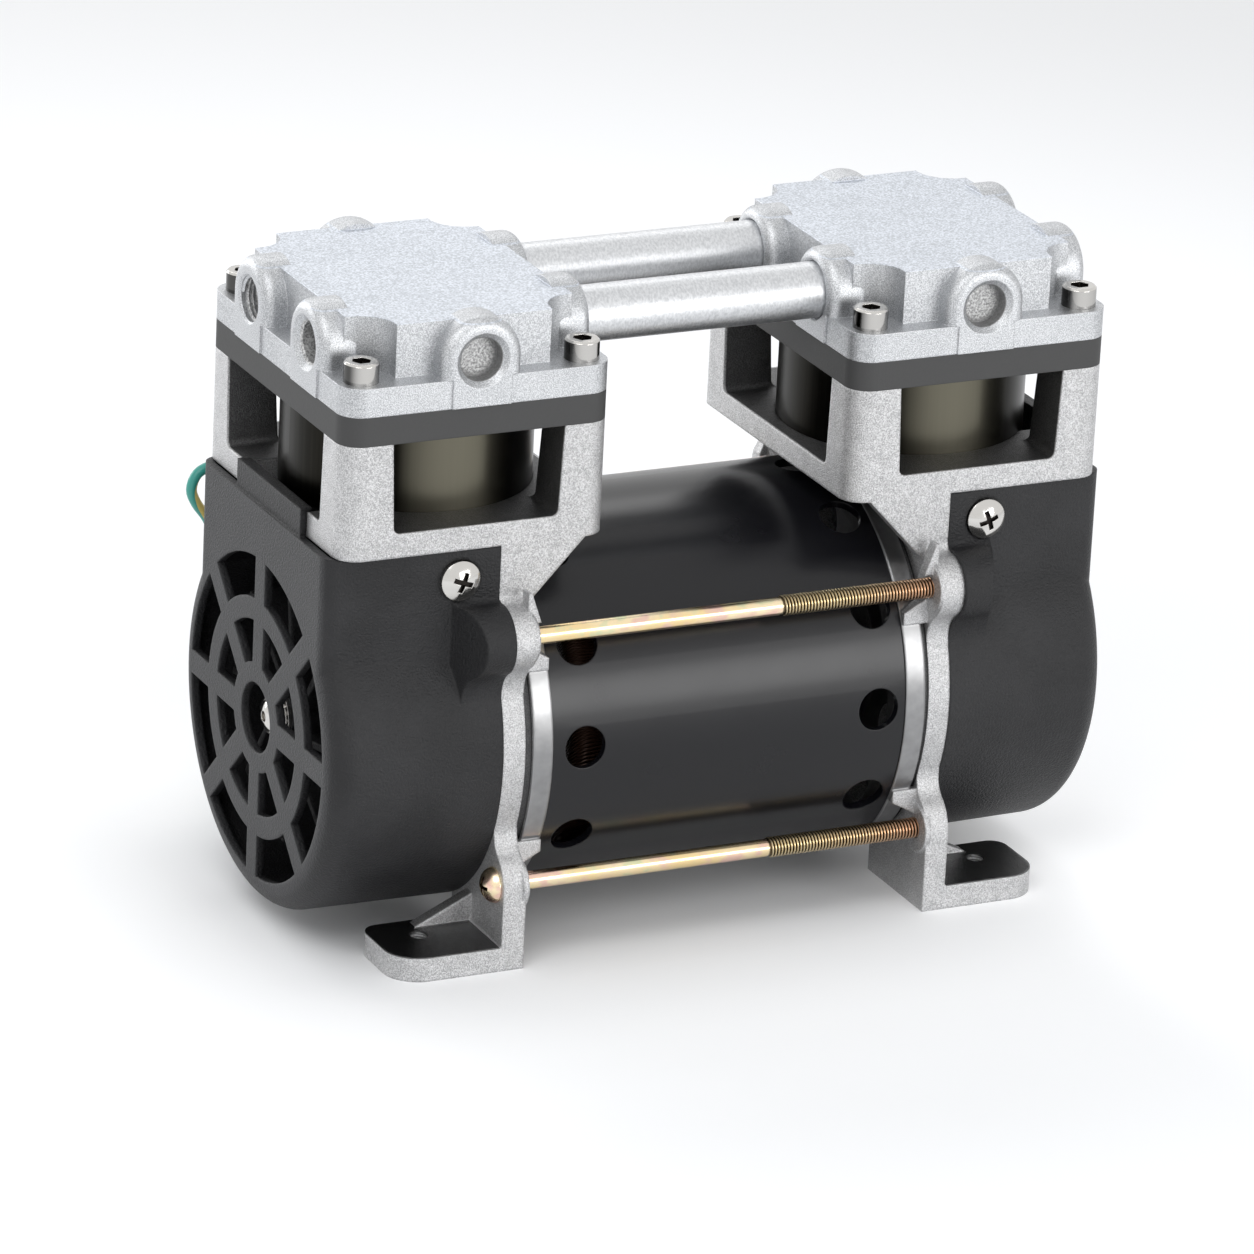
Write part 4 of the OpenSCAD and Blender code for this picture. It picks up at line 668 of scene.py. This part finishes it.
# %% Wind a tooth into a thread
def threaded(name, start, root_r, crest_r, pitch, turns, steps=24):
    """A winding ridge round the X axis, from root_r to crest_r, closed at both ends."""
    sunk = root_r + (root_r - crest_r) * 0.15
    crest_from, crest_to, tooth_end = (start + pitch * share for share in (0.44, 0.56, 0.98))
    tooth = [(start, sunk), (start, root_r), (crest_from, crest_r), (crest_to, crest_r),
             (tooth_end, root_r), (tooth_end, sunk), (start, sunk)]
    o = draw_outline(name, tooth)
    bpy.ops.mesh.remove_doubles(threshold=1e-6)
    bpy.ops.object.mode_set(mode="OBJECT")
    bpy.ops.object.modifier_add(type="SCREW")
    screw = o.modifiers[-1]
    screw.axis = "X"
    screw.screw_offset = pitch
    screw.iterations = turns
    screw.steps = screw.render_steps = steps
    screw.use_merge_vertices = True
    bpy.ops.object.modifier_apply(modifier=screw.name)
    bpy.ops.object.mode_set(mode="EDIT")
    bpy.ops.mesh.select_all(action="SELECT")
    bpy.ops.mesh.remove_doubles(threshold=1e-6)
    bpy.ops.mesh.fill_holes(sides=0)
    bpy.ops.mesh.select_all(action="SELECT")
    bpy.ops.mesh.normals_make_consistent(inside=False)
    bpy.ops.object.mode_set(mode="OBJECT")
    return o


print("a tooth can be wound into a thread")

# %% [markdown]
# ## Cutting and placing
# A recess is cut with a Boolean modifier, whose tool is thrown away afterwards. A finished
# piece is moved to its place, and the move is applied, so that its object stays at the
# origin like those of the CAD parts and the patterns on it start from the same point.

# %% Select, cut and place
def only(*objects):
    """Selects these objects alone; the first one is active."""
    bpy.ops.object.select_all(action="DESELECT")
    for o in objects:
        o.select_set(True)
    bpy.context.view_layer.objects.active = objects[0]


def cut(piece, tool):
    """Takes the tool's volume out of the piece."""
    only(piece)
    bpy.ops.object.modifier_add(type="BOOLEAN")
    m = piece.modifiers[-1]
    m.operation, m.solver, m.object = "DIFFERENCE", "EXACT", tool
    bpy.ops.object.modifier_apply(modifier=m.name)
    bpy.data.objects.remove(tool)


def put(piece, at, body, slot):
    """Sets a finished piece in its place, with its place in its mesh."""
    only(piece)
    piece.location = at
    bpy.ops.object.transform_apply(location=True, rotation=True, scale=True)
    bpy.ops.object.shade_smooth_by_angle(angle=math.radians(38))
    piece.data.materials.clear()
    piece.data.materials.append(finish[slot].material)
    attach(piece, body)


four_corners = ((-1, -1), (-1, 1), (1, -1), (1, 1))
print("pieces that come in fours stand at", four_corners)

# %% [markdown]
# ## The tie bolts
# Four long bolts clamp the two end castings onto the motor shell. Each has a domed head
# with a cross recess at the left, a plain shank, and a rolled thread from a little past
# the middle to the right-hand web. A rolled thread stands a little proud of its shank,
# which is why the shank is thinner than the thread. The bolt is turned from an outline,
# the recess is cut with two crossed blocks, and the thread is wound on.

# %% Model one tie bolt
shank_r, crest_r, root_r, pitch = 2.6 * MM, 3.0 * MM, 2.42 * MM, 1.0 * MM
head_r, head_h = 5.25 * MM, 4.2 * MM
slot_w, slot_l, slot_deep = 1.1 * MM, 5.6 * MM, 1.8 * MM
dome = [(bolt_start + head_h * (1 - math.cos(math.radians(a))),
         head_r * math.sin(math.radians(a))) for a in range(0, 81, 8)]
outline = dome + [
    (bolt_start + head_h * 0.88, head_r), (bolt_start + head_h, head_r * 0.97),
    (bolt_start + head_h, shank_r), (bolt_thread_x - 0.6 * MM, shank_r),
    (bolt_thread_x, root_r), (bolt_end - 0.5 * MM, root_r),
    (bolt_end, root_r - 0.5 * MM), (bolt_end, 0)]
bolt = turned("tie_bolt", outline, 40)
for width, height in ((slot_w, slot_l), (slot_l, slot_w)):
    bpy.ops.mesh.primitive_cube_add(size=1, location=(bolt_start, 0, 0),
                                    scale=(2 * slot_deep, width, height))
    cut(bolt, bpy.context.object)
turns = int((bolt_end - bolt_thread_x - 0.8 * MM) / pitch)
ridge = threaded("tie_bolt_thread", bolt_thread_x, root_r, crest_r, pitch, turns)
only(bolt, ridge)
bpy.ops.object.join()
print("tie bolt:", turns, "turns of thread,", len(bolt.data.polygons), "faces")

# %% [markdown]
# ## Four of them
# The bolt is copied to the four corners round the shaft. Each copy gets its own mesh,
# because its place is written into the mesh, as it is in the CAD parts that they replace.

# %% Copy the tie bolt to its four places
for i, (side, height) in enumerate(four_corners):
    only(bolt)
    bpy.ops.object.duplicate(linked=False)
    piece = bpy.context.object
    piece.name = piece.data.name = f"tie_bolt_{i + 1}"
    put(piece, (0, side * bolt_y, shaft_z + height * bolt_dz), "pump_body", "gold_zinc")
    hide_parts("through_bolts")
bpy.data.objects.remove(bolt)
print("tie bolts:", len(four_corners))

# %% [markdown]
# ## Threads in the holes
# The rear port of the left head takes a quarter-inch pipe fitting, so its bore shows
# coarse threads, and the four foot holes are tapped for the mounting screws. Only the
# ridges are modelled, standing a little way into the smooth holes of the CAD parts.

# %% Model the port thread and the foot threads
port_r, port_deep, port_pitch = 6.6 * MM, 9 * MM, 1.337 * MM
port_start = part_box("left_cylinder_head")[0].x + 0.7 * MM
port = threaded("port_thread", port_start, port_r + 0.05 * MM, port_r - 0.72 * MM,
                port_pitch, int(port_deep / port_pitch), 40)
put(port, (0, head_hole_y, head_hole_z), "pump_body", "blasted_aluminium")

foot_root_r, foot_crest_r, foot_pitch, foot_turns = 2.52 * MM, 2.22 * MM, 0.9 * MM, 6
foot_thread_z = 1.3 * MM
for i, (end, side) in enumerate(four_corners):
    tapped = threaded(f"foot_hole_painted_shade_and_glint_{i + 1}", 0, foot_root_r, foot_crest_r, foot_pitch,
                      foot_turns, 28)
    tapped.rotation_euler = (0, math.radians(-90), 0)
    put(tapped, (end * foot_hole_x, side * foot_hole_y, foot_thread_z), "pump_body",
        "cast_aluminium")
print("threads in holes:", 1 + len(four_corners))

# %% [markdown]
# ## Finishing the earth lead
# The wire takes its striped finish, and stands for the plain tubes and the coil of the CAD
# model. The terminal at its end is a CAD part and stays.

only(lead)
lead.data.materials.clear()
lead.data.materials.append(finish["cable_green"].material)
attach(lead, "pump_body")
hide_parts("earth_lead", "earth_lead_coil", "earth_lead_tail")
print("earth lead:", round(lead_length, 3), "m")

# %% [markdown]
# ## The floor
# The floor is a wide sheet of pale paper. Rays that look at it, straight or in a mirror,
# find it glowing faintly, more and more so with the distance from the pump, until it melts
# into the white surround. Close to the pump the glow is faint, so that the shadow stays,
# but a band of painted light round the pump and a patch of painted light to its right
# lighten the shadow there. No other ray finds the glow, so it lights nothing.

# %% Lay the floor
def background_ray(tree):
    """1 for rays that look at the background straight, in a mirror or through glass."""
    camera_ray, glossy, through = (add_node(tree, "ShaderNodeLightPath", output=name) for name in
                                   ("Is Camera Ray", "Is Glossy Ray", "Is Transmission Ray"))
    return camera_ray.at_least(glossy).at_least(through)


bpy.ops.mesh.primitive_plane_add(size=8, location=(0, 0, 0))
floor = bpy.context.object
floor.name = "floor"
paper = Finish("floor_paper", (0.90, 0.90, 0.90), 0.9)
x, y = paper.place()[:2]
shadow_left, shadow_right, shadow_y = -110 * MM, 45 * MM, 45 * MM
away_x = (x - shadow_right).at_least(shadow_left - x).at_least(0.0)
away_y = (y.size() - shadow_y).at_least(0.0)
away = (away_x * away_x + away_y * away_y).root()
far = away.ramp(0.45, 1.5)
# Painted light on the floor beside and close to the pump, to lighten its shadow there.
beside_painted_light = x.ramp(0.08, 0.13) * (1 - away.ramp(0.08, 0.25)) * 0.13
close_painted_light = away.ramp(0.0, 0.035) * (1 - away.ramp(0.05, 0.15)) * 0.08
near_glow = away.ramp(0.0, 0.08) * (1 - far) * (beside_painted_light + 0.11)
glow = background_ray(paper.tree) * (close_painted_light + near_glow + (far ** 1.7) * 0.93)
paper.set("Base Color", far.mix((0.90, 0.90, 0.90), (0.02, 0.02, 0.02)))
paper.set("Emission Color", glow.mix(black, white))
paper.set("Emission Strength", 1.0)
floor.data.materials.append(paper.material)
print("floor:", [round(v) for v in floor.dimensions])

# %% [markdown]
# ## The surround
# The surround lights the pump from all sides with a cool, rather weak sky. Rays that look
# at it, straight or in a mirror, find an almost white backdrop instead.

# %% Surround
world = bpy.data.worlds.new("surround")
world.use_nodes = True
bpy.context.scene.world = world
tree = world.node_tree
tree.nodes.remove(tree.nodes["Background"])
sky = add_node(tree, "ShaderNodeBackground", {"Color": (0.95, 0.97, 1.0), "Strength": 0.74})
backdrop = add_node(tree, "ShaderNodeBackground", {"Color": (0.965, 0.965, 0.965)})
either = add_node(tree, "ShaderNodeMixShader", {0: background_ray(tree), 1: sky, 2: backdrop})
connect(tree, tree.nodes["World Output"].inputs["Surface"], either)
print("surround:", len(tree.nodes), "nodes")

# %% [markdown]
# ## The lamps
# The key light is a large soft panel above and to the left, and a low one fills the front.
# A long strip behind draws the highlight along the motor, and a panel behind on the left
# lights the edges there. Large panels give the soft borders of studio light.

# %% Hang the lamps
def lamp(name, at, towards, width, height, watts):
    """A soft rectangular panel that faces the point towards."""
    bpy.ops.object.light_add(type="AREA", location=at)
    o = bpy.context.object
    o.name = name
    o.data.shape = "RECTANGLE"
    o.data.size, o.data.size_y, o.data.energy = width, height, watts
    o.rotation_euler = (Vector(towards) - Vector(at)).to_track_quat("-Z", "Y").to_euler()


lamp("key_panel", (-0.9, -0.9, 1.5), (0, 0, 0.1), 1.0, 1.0, 9)
lamp("front_panel", (0.75, -1.6, 0.42), (0, 0, 0.08), 1.2, 0.62, 10)
lamp("back_strip", (0.1, 1.2, 1.3), (0, 0, 0.1), 1.6, 0.4, 4)
lamp("left_panel", (-0.8, 1.5, 0.45), (0, 0, 0.1), 1.0, 0.7, 7)
bpy.context.scene.view_settings.view_transform = "Standard"
print("lamps:", len(bpy.data.lights))

# %% [markdown]
